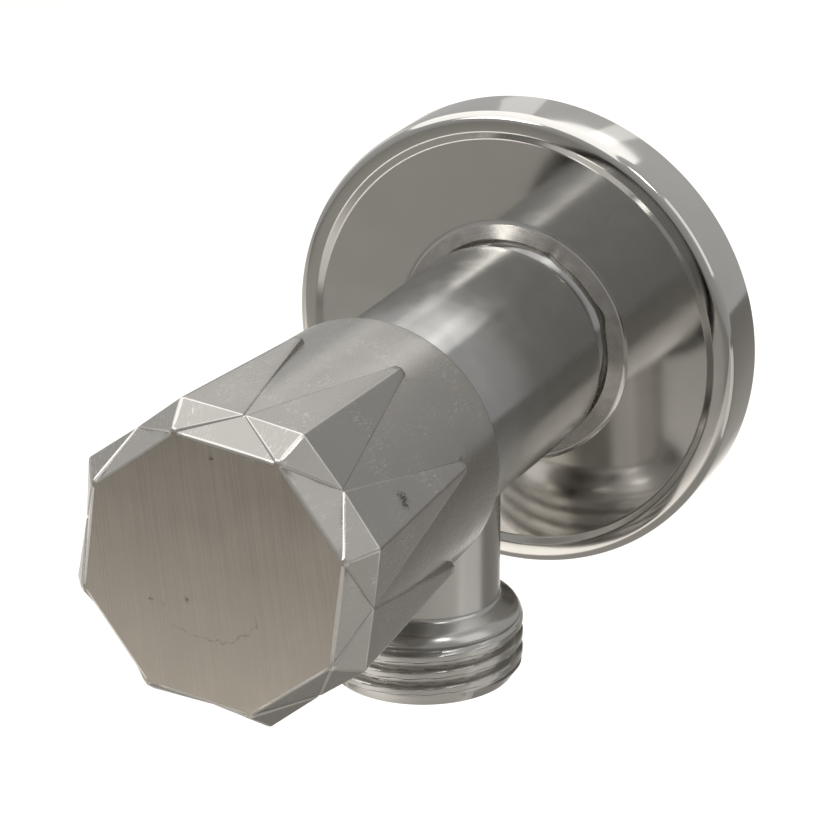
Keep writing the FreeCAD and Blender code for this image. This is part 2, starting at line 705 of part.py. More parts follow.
def build_spindle():
    """The brass spindle: tang, notched collar, shaft with two ring grooves, clip groove and spline."""
    body = new_body("spindle")
    collar = "Sizes.spindle_collar_diameter / 2"
    height = "Sizes.spindle_collar_height"
    solid = "(360 - (Sizes.quarter_turn + Sizes.stop_angle + 2 * Sizes.stop_clearance_angle))"
    start = "(90 + Sizes.stop_angle / 2 + Sizes.stop_clearance_angle)"
    sector(body, "collar", collar, COLLAR_BACK, height, start, solid)
    core = "(Sizes.stop_inner_diameter / 2 - Sizes.key_clearance)"
    sector(body, "core", core, COLLAR_BACK, height, "0", "360")
    shaft = "Sizes.spindle_diameter / 2"
    floor = "(Sizes.spindle_diameter / 2 - Sizes.spindle_ring_section)"
    width = "Sizes.spindle_groove_width / 2"
    clip_floor = "Sizes.clip_groove_diameter / 2"
    shaft_back = f"({COLLAR_FRONT} - Sizes.fused_overlap)"
    profile = [("0", shaft_back), (shaft, shaft_back)]
    for station in ("Sizes.first_ring_station", "Sizes.second_ring_station"):
        profile += [(shaft, f"{station} - {width}"), (floor, f"{station} - {width}"),
                    (floor, f"{station} + {width}"), (shaft, f"{station} + {width}")]
    profile += [(shaft, CLIP_BACK), (clip_floor, CLIP_BACK), (clip_floor, CLIP_FRONT), (shaft, CLIP_FRONT),
                (shaft, SPLINE_BACK), ("0", SPLINE_BACK)]
    turn(body, "shaft", profile)
    tang = new_sketch(body, "tang_outline", "XY_Plane", TANG_END)
    across = "Sizes.tang_width / 2"
    half = "Sizes.tang_thickness / 2"
    draw_outline(tang, rectangle(across, f"-{half}", half))
    pad(body, "tang", tang, f"({COLLAR_BACK} - {TANG_END})")
    spline = new_sketch(body, "spline_outline", "XY_Plane", f"{SPLINE_BACK} - Sizes.fused_overlap")
    spline_outline(spline, "Sizes.spline_diameter / 2", "Sizes.spline_root_diameter / 2")
    pad(body, "spline", spline, "(Sizes.spline_length + Sizes.fused_overlap)")
    return body


def build_spindle_rings():
    """The two rubber rings in the spindle's grooves, drawn at their pressed size."""
    section = "(Sizes.spindle_ring_section - Sizes.ring_play + Sizes.spindle_play)"
    radius = f"(Sizes.spindle_diameter / 2 - Sizes.spindle_ring_section + {section} / 2)"
    torus("spindle_ring_rear", radius, section, "Sizes.first_ring_station")
    torus("spindle_ring_front", radius, section, "Sizes.second_ring_station")


def build_housing_ring():
    """The rubber ring that seals the housing's thread to the body."""
    section = "(Sizes.seal_groove_depth + Sizes.thread_clearance - Sizes.ring_play)"
    radius = f"({CARTRIDGE_RADIUS} - Sizes.seal_groove_depth + {section} / 2)"
    station = f"({COLLAR_SEAT} - Sizes.seal_land - Sizes.seal_groove_width / 2)"
    torus("housing_ring", radius, section, station)


def build_thrust_washer():
    """The slippery washer between the spindle's collar and the housing's step."""
    body = new_body("thrust_washer")
    inner = "(Sizes.spindle_diameter / 2 + Sizes.washer_bore_play)"
    outer = "(Sizes.stop_inner_diameter / 2 - Sizes.washer_rim_play)"
    profile = [(inner, COLLAR_FRONT), (outer, COLLAR_FRONT), (outer, WASHER_FRONT), (inner, WASHER_FRONT)]
    turn(body, "washer", profile)
    return body


def build_retaining_clip():
    """The open spring clip that holds the spindle down in its housing."""
    body = new_body("retaining_clip")
    start = "(270 + Sizes.clip_mouth_angle / 2)"
    sweep = "(360 - Sizes.clip_mouth_angle)"
    sector(body, "plate", "Sizes.clip_diameter / 2", CLIP_BACK, "Sizes.clip_thickness", start, sweep)
    hole = new_sketch(body, "hole_outline", "XY_Plane", CLIP_BACK)
    draw_circle(hole, "Sizes.clip_groove_diameter / 2")
    pocket_blind(body, "hole", hole, "Sizes.clip_thickness", reverse=True)
    return body


def octagon(sketch, corner_radius):
    """A regular outline with the knob's number of sides."""
    draw_outline(sketch, [polar_corner(corner_radius, 2 * HALF_SIDE * side) for side in range(KNOB_SIDES)])


def point_section(body, name, station, ridge, half_width):
    """One cross-section of a faceted point: a ridge at angle 0 and a slope to each side.

    Every section falls by the same slope and lies in a plane that leans back as it nears the axis,
    so each facet between two sections is flat and the edge dips between the knob's corners.
    """
    sketch = new_sketch(body, name, "XY_Plane", f"{station} - {POINT_LEAN} * {ridge}")
    sketch.AttachmentOffset = FreeCAD.Placement(sketch.AttachmentOffset.Base,
                                                FreeCAD.Rotation(FreeCAD.Vector(0, -1, 0), 1))
    sketch.setExpression("AttachmentOffset.Rotation.Angle", f"atan({POINT_LEAN})")
    stretch = f"sqrt(1 + {POINT_LEAN} ^ 2)"
    root = f"({KNOB_MOUTH} * {stretch})"
    crest = f"({ridge} * {stretch})"
    side = f"(({ridge} - {half_width} * {POINT_SLOPE}) * {stretch})"
    corners = [(root, f"-{half_width}"), (side, f"-{half_width}"), (crest, "0"), (side, half_width),
               (root, half_width)]
    draw_outline(sketch, corners)
    return sketch


def add_points(body):
    """The faceted points: each a ridge from the face's corner over the edge to a blunt nose, eight times."""
    nose_ridge = f"({KNOB_REAR} + Sizes.knob_point_rise)"
    half_side = f"({KNOB_MIDDLE} * {SIDE_SINE} - Sizes.knob_point_gap / 2)"
    nose = point_section(body, "nose_outline", "Sizes.knob_point_station", nose_ridge,
                         "(Sizes.knob_point_width / 2)")
    edge = point_section(body, "edge_outline", KNOB_EDGE, KNOB_CORNER, half_side)
    tip = point_section(body, "tip_outline", "Sizes.knob_front_station", KNOB_FACE,
                        "(Sizes.knob_tip_width / 2)")
    loft = body.newObject("PartDesign::AdditiveLoft", "knob_point")
    loft.Profile = nose
    loft.Sections = [edge, tip]
    loft.Ruled = True
    doc.recompute()
    repeat(body, "points", [loft], KNOB_SIDES)


def build_knob():
    """The cast knob: octagonal face, bevel, eight faceted points on a round skirt, hollow behind."""
    body = new_body("knob")
    skirt = [
        ("0", "Sizes.knob_rear_station"),
        (KNOB_REAR, "Sizes.knob_rear_station"),
        (f"({KNOB_CORE} - Sizes.knob_skirt_inset)", KNOB_MIDDLE_STATION),
        ("0", KNOB_MIDDLE_STATION),
    ]
    turn(body, "skirt", skirt)
    edge = new_sketch(body, "bevel_outline", "XY_Plane", KNOB_MIDDLE_STATION)
    octagon(edge, f"({KNOB_CORE} / {SIDE_COSINE})")
    face = new_sketch(body, "face_outline", "XY_Plane", "Sizes.knob_front_station")
    octagon(face, KNOB_FACE)
    bevel = body.newObject("PartDesign::AdditiveLoft", "knob_bevel")
    bevel.Profile = edge
    bevel.Sections = [face]
    bevel.Ruled = True
    doc.recompute()
    add_points(body)
    soften(body, "rear_rim", [(KNOB_REAR, "Sizes.knob_rear_station")], "Sizes.knob_rim_round")
    hollow_knob(body)
    return body


def hollow_knob(body):
    """Hollow the knob from behind, then add its hub, the screw's rib and their holes."""
    ceiling = "(Sizes.knob_front_station - Sizes.knob_front_wall)"
    cavity = [
        ("0", "Sizes.knob_rear_station - Sizes.cutter_spare"),
        (KNOB_MOUTH, "Sizes.knob_rear_station - Sizes.cutter_spare"),
        (KNOB_MOUTH, "Sizes.knob_rear_station"),
        (f"({KNOB_CORE} - Sizes.knob_front_skirt_wall)", ceiling),
        ("0", ceiling),
    ]
    turn(body, "cavity", cavity, "PartDesign::Groove")
    hub = "Sizes.hub_diameter / 2"
    rooted = f"({ceiling} + Sizes.fused_overlap)"
    turn(body, "hub", [("0", HUB_BACK), (hub, HUB_BACK), (hub, rooted), ("0", rooted)])
    rib = new_sketch(body, "rib_outline", "XZ_Plane")
    lean_sketch(rib, SCREW_ANGLE)
    half = "Sizes.screw_rib_width / 2"
    low = f"(Sizes.screw_station - {half})"
    draw_outline(rib, rectangle(half, low, rooted))
    pad(body, "rib", rib, KNOB_REAR)
    bore = "(Sizes.insert_diameter / 2 + Sizes.insert_fit)"
    seat_back = f"({HUB_BACK} - Sizes.cutter_spare)"
    seat_front = f"({INSERT_FRONT} + Sizes.insert_end_gap)"
    seat = [("0", seat_back), (bore, seat_back), (bore, seat_front), ("0", seat_front)]
    turn(body, "insert_seat", seat, "PartDesign::Groove")
    drill_radial(body, "screw_hole", "(Sizes.screw_diameter / 2 + Sizes.screw_fit)", SCREW_ANGLE)


def lean_sketch(sketch, angle):
    """Turn a sketch about the piece's axis so that it faces out at an angle from the piece's own x."""
    sketch.setExpression("AttachmentOffset.Base.z", None)
    facing = FreeCAD.Rotation(FreeCAD.Vector(0, 1, 0), angle + 90)
    sketch.AttachmentOffset = FreeCAD.Placement(FreeCAD.Vector(), facing)


def drill_radial(body, name, radius, angle):
    """Drill the set screw's hole from the axis outwards, at an angle from the piece's own x."""
    sketch = new_sketch(body, f"{name}_outline", "XZ_Plane")
    lean_sketch(sketch, angle)
    circle = sketch.addGeometry(Part.Circle(FreeCAD.Vector(0, value("Sizes.screw_station"), 0),
                                            FreeCAD.Vector(0, 0, 1), value(radius)), False)
    sketch.addConstraint(Sketcher.Constraint("PointOnObject", circle, 3, -2))
    rise = Sketcher.Constraint("DistanceY", -1, 1, circle, 3, value("Sizes.screw_station"))
    sketch.setExpression(f"Constraints[{sketch.addConstraint(rise)}]", "Sizes.screw_station")
    datum = sketch.addConstraint(Sketcher.Constraint("Radius", circle, value(radius)))
    sketch.setExpression(f"Constraints[{datum}]", radius)
    pocket_blind(body, name, sketch, f"({KNOB_CORNER} + Sizes.cutter_spare)", reverse=True)


def build_knob_insert():
    """The splined bush in the knob's hub."""
    body = new_body("knob_insert")
    outer = "Sizes.insert_diameter / 2"
    turn(body, "bush", [("0", INSERT_BACK), (outer, INSERT_BACK), (outer, INSERT_FRONT), ("0", INSERT_FRONT)])
    spline = new_sketch(body, "spline_outline", "XY_Plane", INSERT_BACK)
    spline_outline(spline, "(Sizes.spline_diameter / 2 + Sizes.spline_play)",
                   "(Sizes.spline_root_diameter / 2 + Sizes.spline_play)")
    pocket_blind(body, "spline", spline, "Sizes.insert_length", reverse=True)
    screw_angle = SCREW_ANGLE + value("Sizes.knob_turn_angle")
    drill_radial(body, "screw_hole", "(Sizes.screw_diameter / 2 + Sizes.insert_hole_play)", screw_angle)
    return body


def build_set_screw():
    """The headless screw that holds the knob on the spindle, drawn from its tip along its own z."""
    body = new_body("knob_set_screw")
    radius = "Sizes.screw_diameter / 2"
    profile = [("0", "0"), (f"({radius} - Sizes.screw_point)", "0"), (radius, "Sizes.screw_point"),
               (radius, SCREW_LENGTH), ("0", SCREW_LENGTH)]
    turn(body, "shank", profile)
    socket = new_sketch(body, "socket_outline", "XY_Plane", f"({SCREW_LENGTH} - Sizes.screw_socket_depth)")
    corner = f"(Sizes.screw_socket_width / {2 * math.cos(math.pi / 6):.9f})"
    draw_outline(socket, [polar_corner(corner, 60 * side) for side in range(6)])
    pocket_blind(body, "socket", socket, "Sizes.screw_socket_depth", reverse=True)
    return body


def place_pieces():
    """Turn every piece's axis to -Y; what sits in the knob also takes the knob's angle."""
    upright = FreeCAD.Placement(FreeCAD.Vector(), FreeCAD.Rotation(FreeCAD.Vector(1, 0, 0), 90))
    axis = FreeCAD.Vector(0, 0, 1)
    knob_turn = FreeCAD.Placement(FreeCAD.Vector(), FreeCAD.Rotation(axis, value("Sizes.knob_turn_angle")))
    lean = FreeCAD.Rotation(axis, SCREW_ANGLE) * FreeCAD.Rotation(FreeCAD.Vector(0, 1, 0), 90)
    outward = lean.multVec(axis)
    screw_base = outward * value(SCREW_TIP) + FreeCAD.Vector(0, 0, value("Sizes.screw_station"))
    for piece in pieces():
        own = FreeCAD.Placement(piece.Placement)
        if piece.Label == "knob_set_screw":
            own = FreeCAD.Placement(screw_base, lean)
        if piece.Label in ("knob", "knob_set_screw"):
            own = knob_turn * own
        if piece.TypeId == "Part::Torus":
            piece.setExpression("Placement.Base.z", None)
        piece.Placement = upright * own
    doc.recompute()


def pieces():
    """The finished sub-parts: every body and every rubber ring."""
    return [item for item in doc.Objects if item.TypeId in ("PartDesign::Body", "Part::Torus")]


def check_document():
    """Stop if any object failed or any piece is empty or invalid."""
    for item in doc.Objects:
        if "Invalid" in item.State or "Error" in item.State:
            raise RuntimeError(f"{item.Label} failed: {item.State}")
    for piece in pieces():
        if piece.Shape.isNull() or not piece.Shape.isValid():
            raise RuntimeError(f"{piece.Label} has no valid shape")
        if len(piece.Shape.Solids) != 1:
            raise RuntimeError(f"{piece.Label} is {len(piece.Shape.Solids)} solids")


def export_pieces():
    """Write one file for each piece, named by its label."""
    os.makedirs(PARTS_FOLDER, exist_ok=True)
    for piece in pieces():
        piece.Shape.exportStep(os.path.join(PARTS_FOLDER, f"{piece.Label}.step"))
        print(f"{piece.Label}: {piece.Shape.Volume:.1f} mm3")


build_valve_body()
build_wall_flange()
build_seat_seal()
build_fixed_disc()
build_moving_disc()
build_cartridge_housing()
build_housing_ring()
build_spindle()
build_spindle_rings()
build_thrust_washer()
build_retaining_clip()
build_knob()
build_knob_insert()
build_set_screw()
place_pieces()
check_document()
export_pieces()
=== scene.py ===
"""The looks of a quarter-turn angle stop valve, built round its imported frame.

The frame's axes hold here too: the valve's axis runs out of the wall to -Y, the outlet points to -Z and
+Z is up. A station is a distance from the wall along the valve's axis, a depth is a distance below that
axis, and a bearing is an angle about the axis from +Z towards +X. Lengths are in metres.
"""
import logging
import math
from dataclasses import dataclass, field
from enum import Enum, IntEnum
from typing import Any, Iterable, Sequence

import bmesh
import bpy
import numpy as np
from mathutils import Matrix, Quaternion, Vector


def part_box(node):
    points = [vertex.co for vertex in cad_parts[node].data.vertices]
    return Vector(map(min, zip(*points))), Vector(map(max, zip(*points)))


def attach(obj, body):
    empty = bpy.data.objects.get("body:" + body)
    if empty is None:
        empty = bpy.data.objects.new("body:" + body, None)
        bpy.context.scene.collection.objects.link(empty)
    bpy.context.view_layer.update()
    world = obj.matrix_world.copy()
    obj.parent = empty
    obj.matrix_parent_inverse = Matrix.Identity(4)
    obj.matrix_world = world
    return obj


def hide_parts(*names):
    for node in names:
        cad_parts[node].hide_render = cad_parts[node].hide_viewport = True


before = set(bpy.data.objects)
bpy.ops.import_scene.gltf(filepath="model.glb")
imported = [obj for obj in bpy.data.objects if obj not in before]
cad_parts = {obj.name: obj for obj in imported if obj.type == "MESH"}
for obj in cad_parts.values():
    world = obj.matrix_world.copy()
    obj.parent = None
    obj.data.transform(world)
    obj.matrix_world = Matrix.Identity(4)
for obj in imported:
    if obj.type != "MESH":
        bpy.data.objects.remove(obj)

LOG = logging.getLogger("angle_valve")
MM = 0.001
MICRON = 0.000001
TURN = 2.0 * math.pi
OUTLET_STATION = 28.9 * MM
KNOB_FACE = 75.6 * MM
FACE_BRUSHING = math.radians(97.0)
GRAIN_RADIUS = 12.0 * MM

Outline = list[tuple[float, float]]


class Axis(Enum):
    """The two axes that the valve's round forms are turned about."""

    INLET = "out of the wall"
    OUTLET = "down through the outlet"


class Grain(Enum):
    """The way that a surface was brushed."""

    ALONG = "along the valve's axis"
    AROUND = "round the valve's axis"
    FACE = "straight across the knob's face"
    OUTLET = "round the outlet's axis"
    NONE = "not brushed"


class Joining(Enum):
    """What a tool does to the piece that it is set against."""

    ADD = "UNION"
    CUT = "DIFFERENCE"


class BodyZone(IntEnum):
    """The body's finishes, by material slot."""

    TUBE = 0
    OUTLET = 1


class FlangeZone(IntEnum):
    """The wall flange's finishes, by material slot."""

    COVER = 0
    LIP = 1


class KnobZone(IntEnum):
    """The knob's finishes, by material slot."""

    FACE = 0
    SKIRT = 1
    EDGE = 2
    HOLLOW = 3


def on_axis(axis: Axis, radius: float, along: float, bearing: float) -> Vector:
    """Turn a point of an outline into a place in the frame.

    Args:
        axis: the axis that the outline is turned about.
        radius: distance from that axis.
        along: station on the inlet's axis, or depth on the outlet's.
        bearing: angle about the axis.

    Returns:
        The point in the frame.
    """
    across = radius * math.sin(bearing)
    up = radius * math.cos(bearing)
    if axis is Axis.INLET:
        return Vector((across, -along, up))
    return Vector((across, up - OUTLET_STATION, -along))


@dataclass(frozen=True)
class Corner:
    """A corner of a turned outline, with the radius that rounds it."""

    radius: float
    along: float
    rounding: float = 0.0

    def vector(self) -> Vector:
        """The corner as a flat vector."""
        return Vector((self.radius, self.along))


def rounded_outline(corners: Sequence[Corner], steps: int = 6, closed: bool = True) -> Outline:
    """Round the corners of an outline with arcs.

    Args:
        corners: the corners in order.
        steps: straight pieces in each arc.
        closed: whether the last corner joins the first.

    Returns:
        The points of the rounded outline.
    """
    points: Outline = []
    count = len(corners)
    for index, corner in enumerate(corners):
        here = corner.vector()
        at_end = not closed and index in (0, count - 1)
        if corner.rounding <= 0.0 or at_end:
            points.append((here.x, here.y))
            continue
        back = corners[index - 1].vector() - here
        ahead = corners[(index + 1) % count].vector() - here
        half = back.angle(ahead) / 2.0
        reach = min(corner.rounding / math.tan(half), 0.48 * back.length, 0.48 * ahead.length)
        radius = reach * math.tan(half)
        centre = here + (back.normalized() + ahead.normalized()).normalized() * (radius / math.sin(half))
        start = here + back.normalized() * reach - centre
        end = here + ahead.normalized() * reach - centre
        first = math.atan2(start.y, start.x)
        sweep = (math.atan2(end.y, end.x) - first + math.pi) % TURN - math.pi
        for step in range(steps + 1):
            angle = first + sweep * step / steps
            points.append((centre.x + radius * math.cos(angle), centre.y + radius * math.sin(angle)))
    return points


@dataclass(frozen=True)
class Thread:
    """A rounded pipe thread cut into a turned form."""

    crest_radius: float
    start: float
    end: float
    pitch: float = 1.814 * MM
    depth: float = 0.85 * MM
    run_out: float = 1.4 * MM
    lead_in: float = 0.35 * MM
    crest_share: float = 0.30

    def rows(self, outline: Outline, per_pitch: int = 20) -> Outline:
        """Add the rows that the thread needs to the straight stretch of an outline.

        Args:
            outline: the turned form's outline.
            per_pitch: rows in one pitch.

        Returns:
            The outline with the extra points.
        """
        points: Outline = []
        step = self.pitch / per_pitch
        for index, point in enumerate(outline):
            points.append(point)
            following = outline[(index + 1) % len(outline)]
            low = min(point[1], following[1])
            high = max(point[1], following[1])
            straight = min(point[0], following[0]) > self.crest_radius - self.depth
            if straight and high - low > step and high > self.start and low < self.end:
                pieces = int((high - low) / step)
                for piece in range(1, pieces):
                    share = piece / pieces
                    points.append((point[0] + (following[0] - point[0]) * share,
                                   point[1] + (following[1] - point[1]) * share))
        return points

    def radius_at(self, radius: float, along: float, bearing: float) -> float:
        """The radius of the threaded form where the plain one has a given radius.

        Args:
            radius: the plain form's radius.
            along: place along the axis.
            bearing: angle about the axis.

        Returns:
            The radius after the thread is cut.
        """
        if radius < self.crest_radius - self.depth or not self.start < along < self.end:
            return radius
        phase = (along / self.pitch - bearing / TURN) % 1.0
        wave = abs(2.0 * phase - 1.0)
        share = min(max((wave - self.crest_share) / (1.0 - 1.6 * self.crest_share), 0.0), 1.0)
        share = share * share * (3.0 - 2.0 * share)
        fade = min((along - self.start) / self.run_out, 1.0) * min((self.end - along) / self.lead_in, 1.0)
        return min(radius, self.crest_radius - self.depth * share * fade)


@dataclass
class Shell:
    """Points and faces gathered for one mesh."""

    points: list[Vector] = field(default_factory=list)
    faces: list[tuple[int, ...]] = field(default_factory=list)
    zones: list[int] = field(default_factory=list)

    def ring(self, places: Iterable[Vector]) -> list[int]:
        """Add a row of points and give their numbers."""
        first = len(self.points)
        self.points.extend(places)
        return list(range(first, len(self.points)))

    def bridge(self, first: Sequence[int], second: Sequence[int], zone: int = 0) -> None:
        """Join two closed rows of the same length with four-sided faces.

        Args:
            first: numbers of the first row.
            second: numbers of the second row.
            zone: the material slot of the new faces.
        """
        count = len(first)
        for index in range(count):
            following = (index + 1) % count
            self.faces.append((first[index], first[following], second[following], second[index]))
            self.zones.append(zone)

    def cap(self, ring: Sequence[int], centre: Vector, zone: int = 0) -> None:
        """Close a row with a fan about its centre.

        Args:
            ring: numbers of the row.
            centre: the fan's middle.
            zone: the material slot of the new faces.
        """
        middle = self.ring([centre])[0]
        for index in range(len(ring)):
            self.faces.append((ring[index], ring[(index + 1) % len(ring)], middle))
            self.zones.append(zone)

    def build(self, name: str) -> bpy.types.Object:
        """Make the object from what was gathered, with clean normals.

        Args:
            name: the object's name.

        Returns:
            The linked object.
        """
        mesh = bpy.data.meshes.new(name)
        mesh.from_pydata([tuple(point) for point in self.points], [], self.faces)
        mesh.polygons.foreach_set("material_index", self.zones)
        work = bmesh.new()
        work.from_mesh(mesh)
        bmesh.ops.remove_doubles(work, verts=work.verts, dist=0.2 * MICRON)
        bmesh.ops.dissolve_degenerate(work, edges=work.edges, dist=0.2 * MICRON)
        bmesh.ops.recalc_face_normals(work, faces=work.faces)
        work.to_mesh(mesh)
        work.free()
        made = bpy.data.objects.new(name, mesh)
        bpy.context.scene.collection.objects.link(made)
        return made


def turned(name: str, outline: Outline, axis: Axis, segments: int = 192,
           thread: Thread | None = None) -> bpy.types.Object:
    """Turn a closed outline about an axis into a closed mesh.

    Args:
        name: the object's name.
        outline: points of (radius, along); the ends may lie on the axis.
        axis: the axis to turn about.
        segments: faces in a full turn.
        thread: a thread to cut into it.

    Returns:
        The new object.
    """
    shell = Shell()
    rows = thread.rows(outline) if thread else outline
    rings = []
    for radius, along in rows:
        places = []
        for segment in range(segments):
            bearing = TURN * segment / segments
            cut = thread.radius_at(radius, along, bearing) if thread else radius
            places.append(on_axis(axis, cut, along, bearing))
        rings.append(shell.ring(places))
    for index, ring in enumerate(rings):
        shell.bridge(ring, rings[(index + 1) % len(rings)])
    return shell.build(name)


def settle(piece: bpy.types.Object) -> bpy.types.Object:
    """Apply a piece's modifiers to its mesh.

    Args:
        piece: the object.

    Returns:
        The same object.
    """
    graph = bpy.context.evaluated_depsgraph_get()
    mesh = bpy.data.meshes.new_from_object(piece.evaluated_get(graph))
    piece.modifiers.clear()
    piece.data = mesh
    return piece


def combine(piece: bpy.types.Object, tool: bpy.types.Object, joining: Joining) -> bpy.types.Object:
    """Join a tool to a piece, or cut it out of the piece, and delete the tool.

    Args:
        piece: the object that stays.
        tool: the object that is used up.
        joining: whether the tool is added or cut out.

    Returns:
        The piece.
    """
    step = piece.modifiers.new("combine", "BOOLEAN")
    step.operation = joining.value
    step.solver = "EXACT"
    step.object = tool
    settle(piece)
    bpy.data.objects.remove(tool, do_unlink=True)
    return piece


def smooth(piece: bpy.types.Object, sharp_degrees: float = 38.0) -> bpy.types.Object:
    """Shade a piece smooth, keep its sharp edges and let its large faces set the normals.

    Args:
        piece: the object.
        sharp_degrees: edges that turn more than this stay sharp.

    Returns:
        The same object.
    """
    mesh = piece.data
    mesh.shade_smooth()
    mesh.set_sharp_from_angle(angle=math.radians(sharp_degrees))
    finish_at: dict[int, int] = {}
    for face in mesh.polygons:
        for loop in face.loop_indices:
            edge = mesh.loops[loop].edge_index
            if finish_at.setdefault(edge, face.material_index) != face.material_index:
                mesh.edges[edge].use_edge_sharp = True
    step = piece.modifiers.new("normals", "WEIGHTED_NORMAL")
    step.keep_sharp = True
    return piece


class ShaderGraph:
    """The nodes of one finish, wired up step by step."""

    def __init__(self, name: str) -> None:
        """Start an empty material with a surface shader.

        Args:
            name: the material's name.
        """
        self.material = bpy.data.materials.new(name)
        self.material.use_nodes = True
        self.tree = self.material.node_tree
        self.tree.nodes.clear()
        self.shader = self.add("ShaderNodeBsdfPrincipled")
        output = self.add("ShaderNodeOutputMaterial")
        self.tree.links.new(self.shader.outputs["BSDF"], output.inputs["Surface"])
        self.place = self.add("ShaderNodeTexCoord").outputs["Object"]

    def add(self, kind: str, inputs: dict[Any, Any] | None = None, **settings: Any) -> bpy.types.Node:
        """Add a node.

        Args:
            kind: the node's type.
            inputs: values or sockets for its inputs, by name or number.
            **settings: properties of the node.

        Returns:
            The node.
        """
        node = self.tree.nodes.new(kind)
        for key, setting in settings.items():
            setattr(node, key, setting)
        for key, given in (inputs or {}).items():
            if isinstance(given, bpy.types.NodeSocket):
                self.tree.links.new(given, node.inputs[key])
            else:
                node.inputs[key].default_value = given
        return node

    def math(self, operation: str, *terms: Any) -> bpy.types.NodeSocket:
        """A sum, product or other function of numbers and sockets.

        Args:
            operation: the function's name.
            *terms: its terms.

        Returns:
            The result's socket.
        """
        return self.add("ShaderNodeMath", dict(enumerate(terms)), operation=operation).outputs[0]

    def grain_place(self, grain: Grain, length: float, width: float) -> bpy.types.NodeSocket:
        """Coordinates in which the marks of a brush are stretched along its path.

        Args:
            grain: the brush's direction.
            length: length of a mark.
            width: width of a mark.

        Returns:
            A vector socket.
        """
        split = self.add("ShaderNodeSeparateXYZ", {0: self.place})
        across, along, up = split.outputs[0], split.outputs[1], split.outputs[2]
        if grain is Grain.FACE:
            first = self.math("ADD", self.math("MULTIPLY", across, math.cos(FACE_BRUSHING)),
                              self.math("MULTIPLY", up, math.sin(FACE_BRUSHING)))
            second = self.math("SUBTRACT", self.math("MULTIPLY", up, math.cos(FACE_BRUSHING)),
                               self.math("MULTIPLY", across, math.sin(FACE_BRUSHING)))
            return self.add("ShaderNodeCombineXYZ", {0: self.math("DIVIDE", first, length),
                                                     1: self.math("DIVIDE", second, width),
                                                     2: self.math("DIVIDE", along, 10.0 * length)}).outputs[0]
        if grain is Grain.OUTLET:
            along, up = up, self.math("ADD", along, OUTLET_STATION)
        bearing = self.math("ARCTAN2", across, up)
        reach = self.math("MULTIPLY", bearing, GRAIN_RADIUS)
        radius = self.math("SQRT", self.math("ADD", self.math("MULTIPLY", across, across),
                                             self.math("MULTIPLY", up, up)))
        if grain is Grain.ALONG:
            return self.add("ShaderNodeCombineXYZ", {0: self.math("DIVIDE", reach, width),
                                                     1: self.math("DIVIDE", along, length),
                                                     2: self.math("DIVIDE", radius, length)}).outputs[0]
        return self.add("ShaderNodeCombineXYZ", {0: self.math("DIVIDE", reach, length),
                                                 1: self.math("DIVIDE", along, width),
                                                 2: self.math("DIVIDE", radius, width)}).outputs[0]

    def noise(self, place: bpy.types.NodeSocket, scale: float = 1.0, detail: float = 3.0,
              rough: float = 0.6) -> bpy.types.NodeSocket:
        """A cloud of values from 0 to 1.

        Args:
            place: the coordinates.
            scale: how many clouds fit in one unit.
            detail: octaves.
            rough: share of each finer octave.

        Returns:
            The value's socket.
        """
        return self.add("ShaderNodeTexNoise", {"Vector": place, "Scale": scale, "Detail": detail,
                                               "Roughness": rough}).outputs["Fac"]

    def remap(self, given: bpy.types.NodeSocket, low: float, high: float, to_low: float,
              to_high: float) -> bpy.types.NodeSocket:
        """Stretch a value from one range to another, held at its ends.

        Args:
            given: the value.
            low: start of its range.
            high: end of its range.
            to_low: result at the start.
            to_high: result at the end.

        Returns:
            The result's socket.
        """
        return self.add("ShaderNodeMapRange", {0: given, 1: low, 2: high, 3: to_low, 4: to_high}).outputs[0]

    def spread(self, clouds: bpy.types.NodeSocket, to_low: float, to_high: float) -> bpy.types.NodeSocket:
        """Stretch the range that most of a noise lies in, 0.3 to 0.7, to another.

        Args:
            clouds: the noise.
            to_low: result at its low end.
            to_high: result at its high end.

        Returns:
            The result's socket.
        """
        return self.remap(clouds, 0.3, 0.7, to_low, to_high)

    def mix(self, share: Any, first: Any, second: Any) -> bpy.types.NodeSocket:
        """Mix two colours.

        Args:
            share: share of the second colour.
            first: the first colour.
            second: the second colour.

        Returns:
            The colour's socket.
        """
        node = self.add("ShaderNodeMix", data_type="RGBA", blend_type="MIX")
        for socket, given in ((node.inputs[0], share), (node.inputs[6], first), (node.inputs[7], second)):
            if isinstance(given, bpy.types.NodeSocket):
                self.tree.links.new(given, socket)
            else:
                socket.default_value = given
        return node.outputs[2]

    def scaled(self, colour: tuple[float, float, float], level: bpy.types.NodeSocket) -> bpy.types.NodeSocket:
        """A colour made lighter or darker by a level.

        Args:
            colour: the colour.
            level: the level, where 1 leaves it as it is.

        Returns:
            The colour's socket.
        """
        return self.add("ShaderNodeVectorMath", {0: colour, "Scale": level}, operation="SCALE").outputs[0]

    def bump(self, height: bpy.types.NodeSocket, distance: float, strength: float = 1.0,
             base: bpy.types.NodeSocket | None = None) -> bpy.types.NodeSocket:
        """Tilt the surface by a height.

        Args:
            height: the height, from 0 to 1.
            distance: what a height of 1 measures.
            strength: share of the effect.
            base: a normal to start from.

        Returns:
            The normal's socket.
        """
        inputs: dict[Any, Any] = {"Height": height, "Distance": distance, "Strength": strength}
        if base is not None:
            inputs["Normal"] = base
        return self.add("ShaderNodeBump", inputs).outputs["Normal"]


def tint(colour: tuple[float, float, float], share: float) -> tuple[float, float, float, float]:
    """A colour made lighter or darker by a share, with full opacity."""
    return (colour[0] * share, colour[1] * share, colour[2] * share, 1.0)


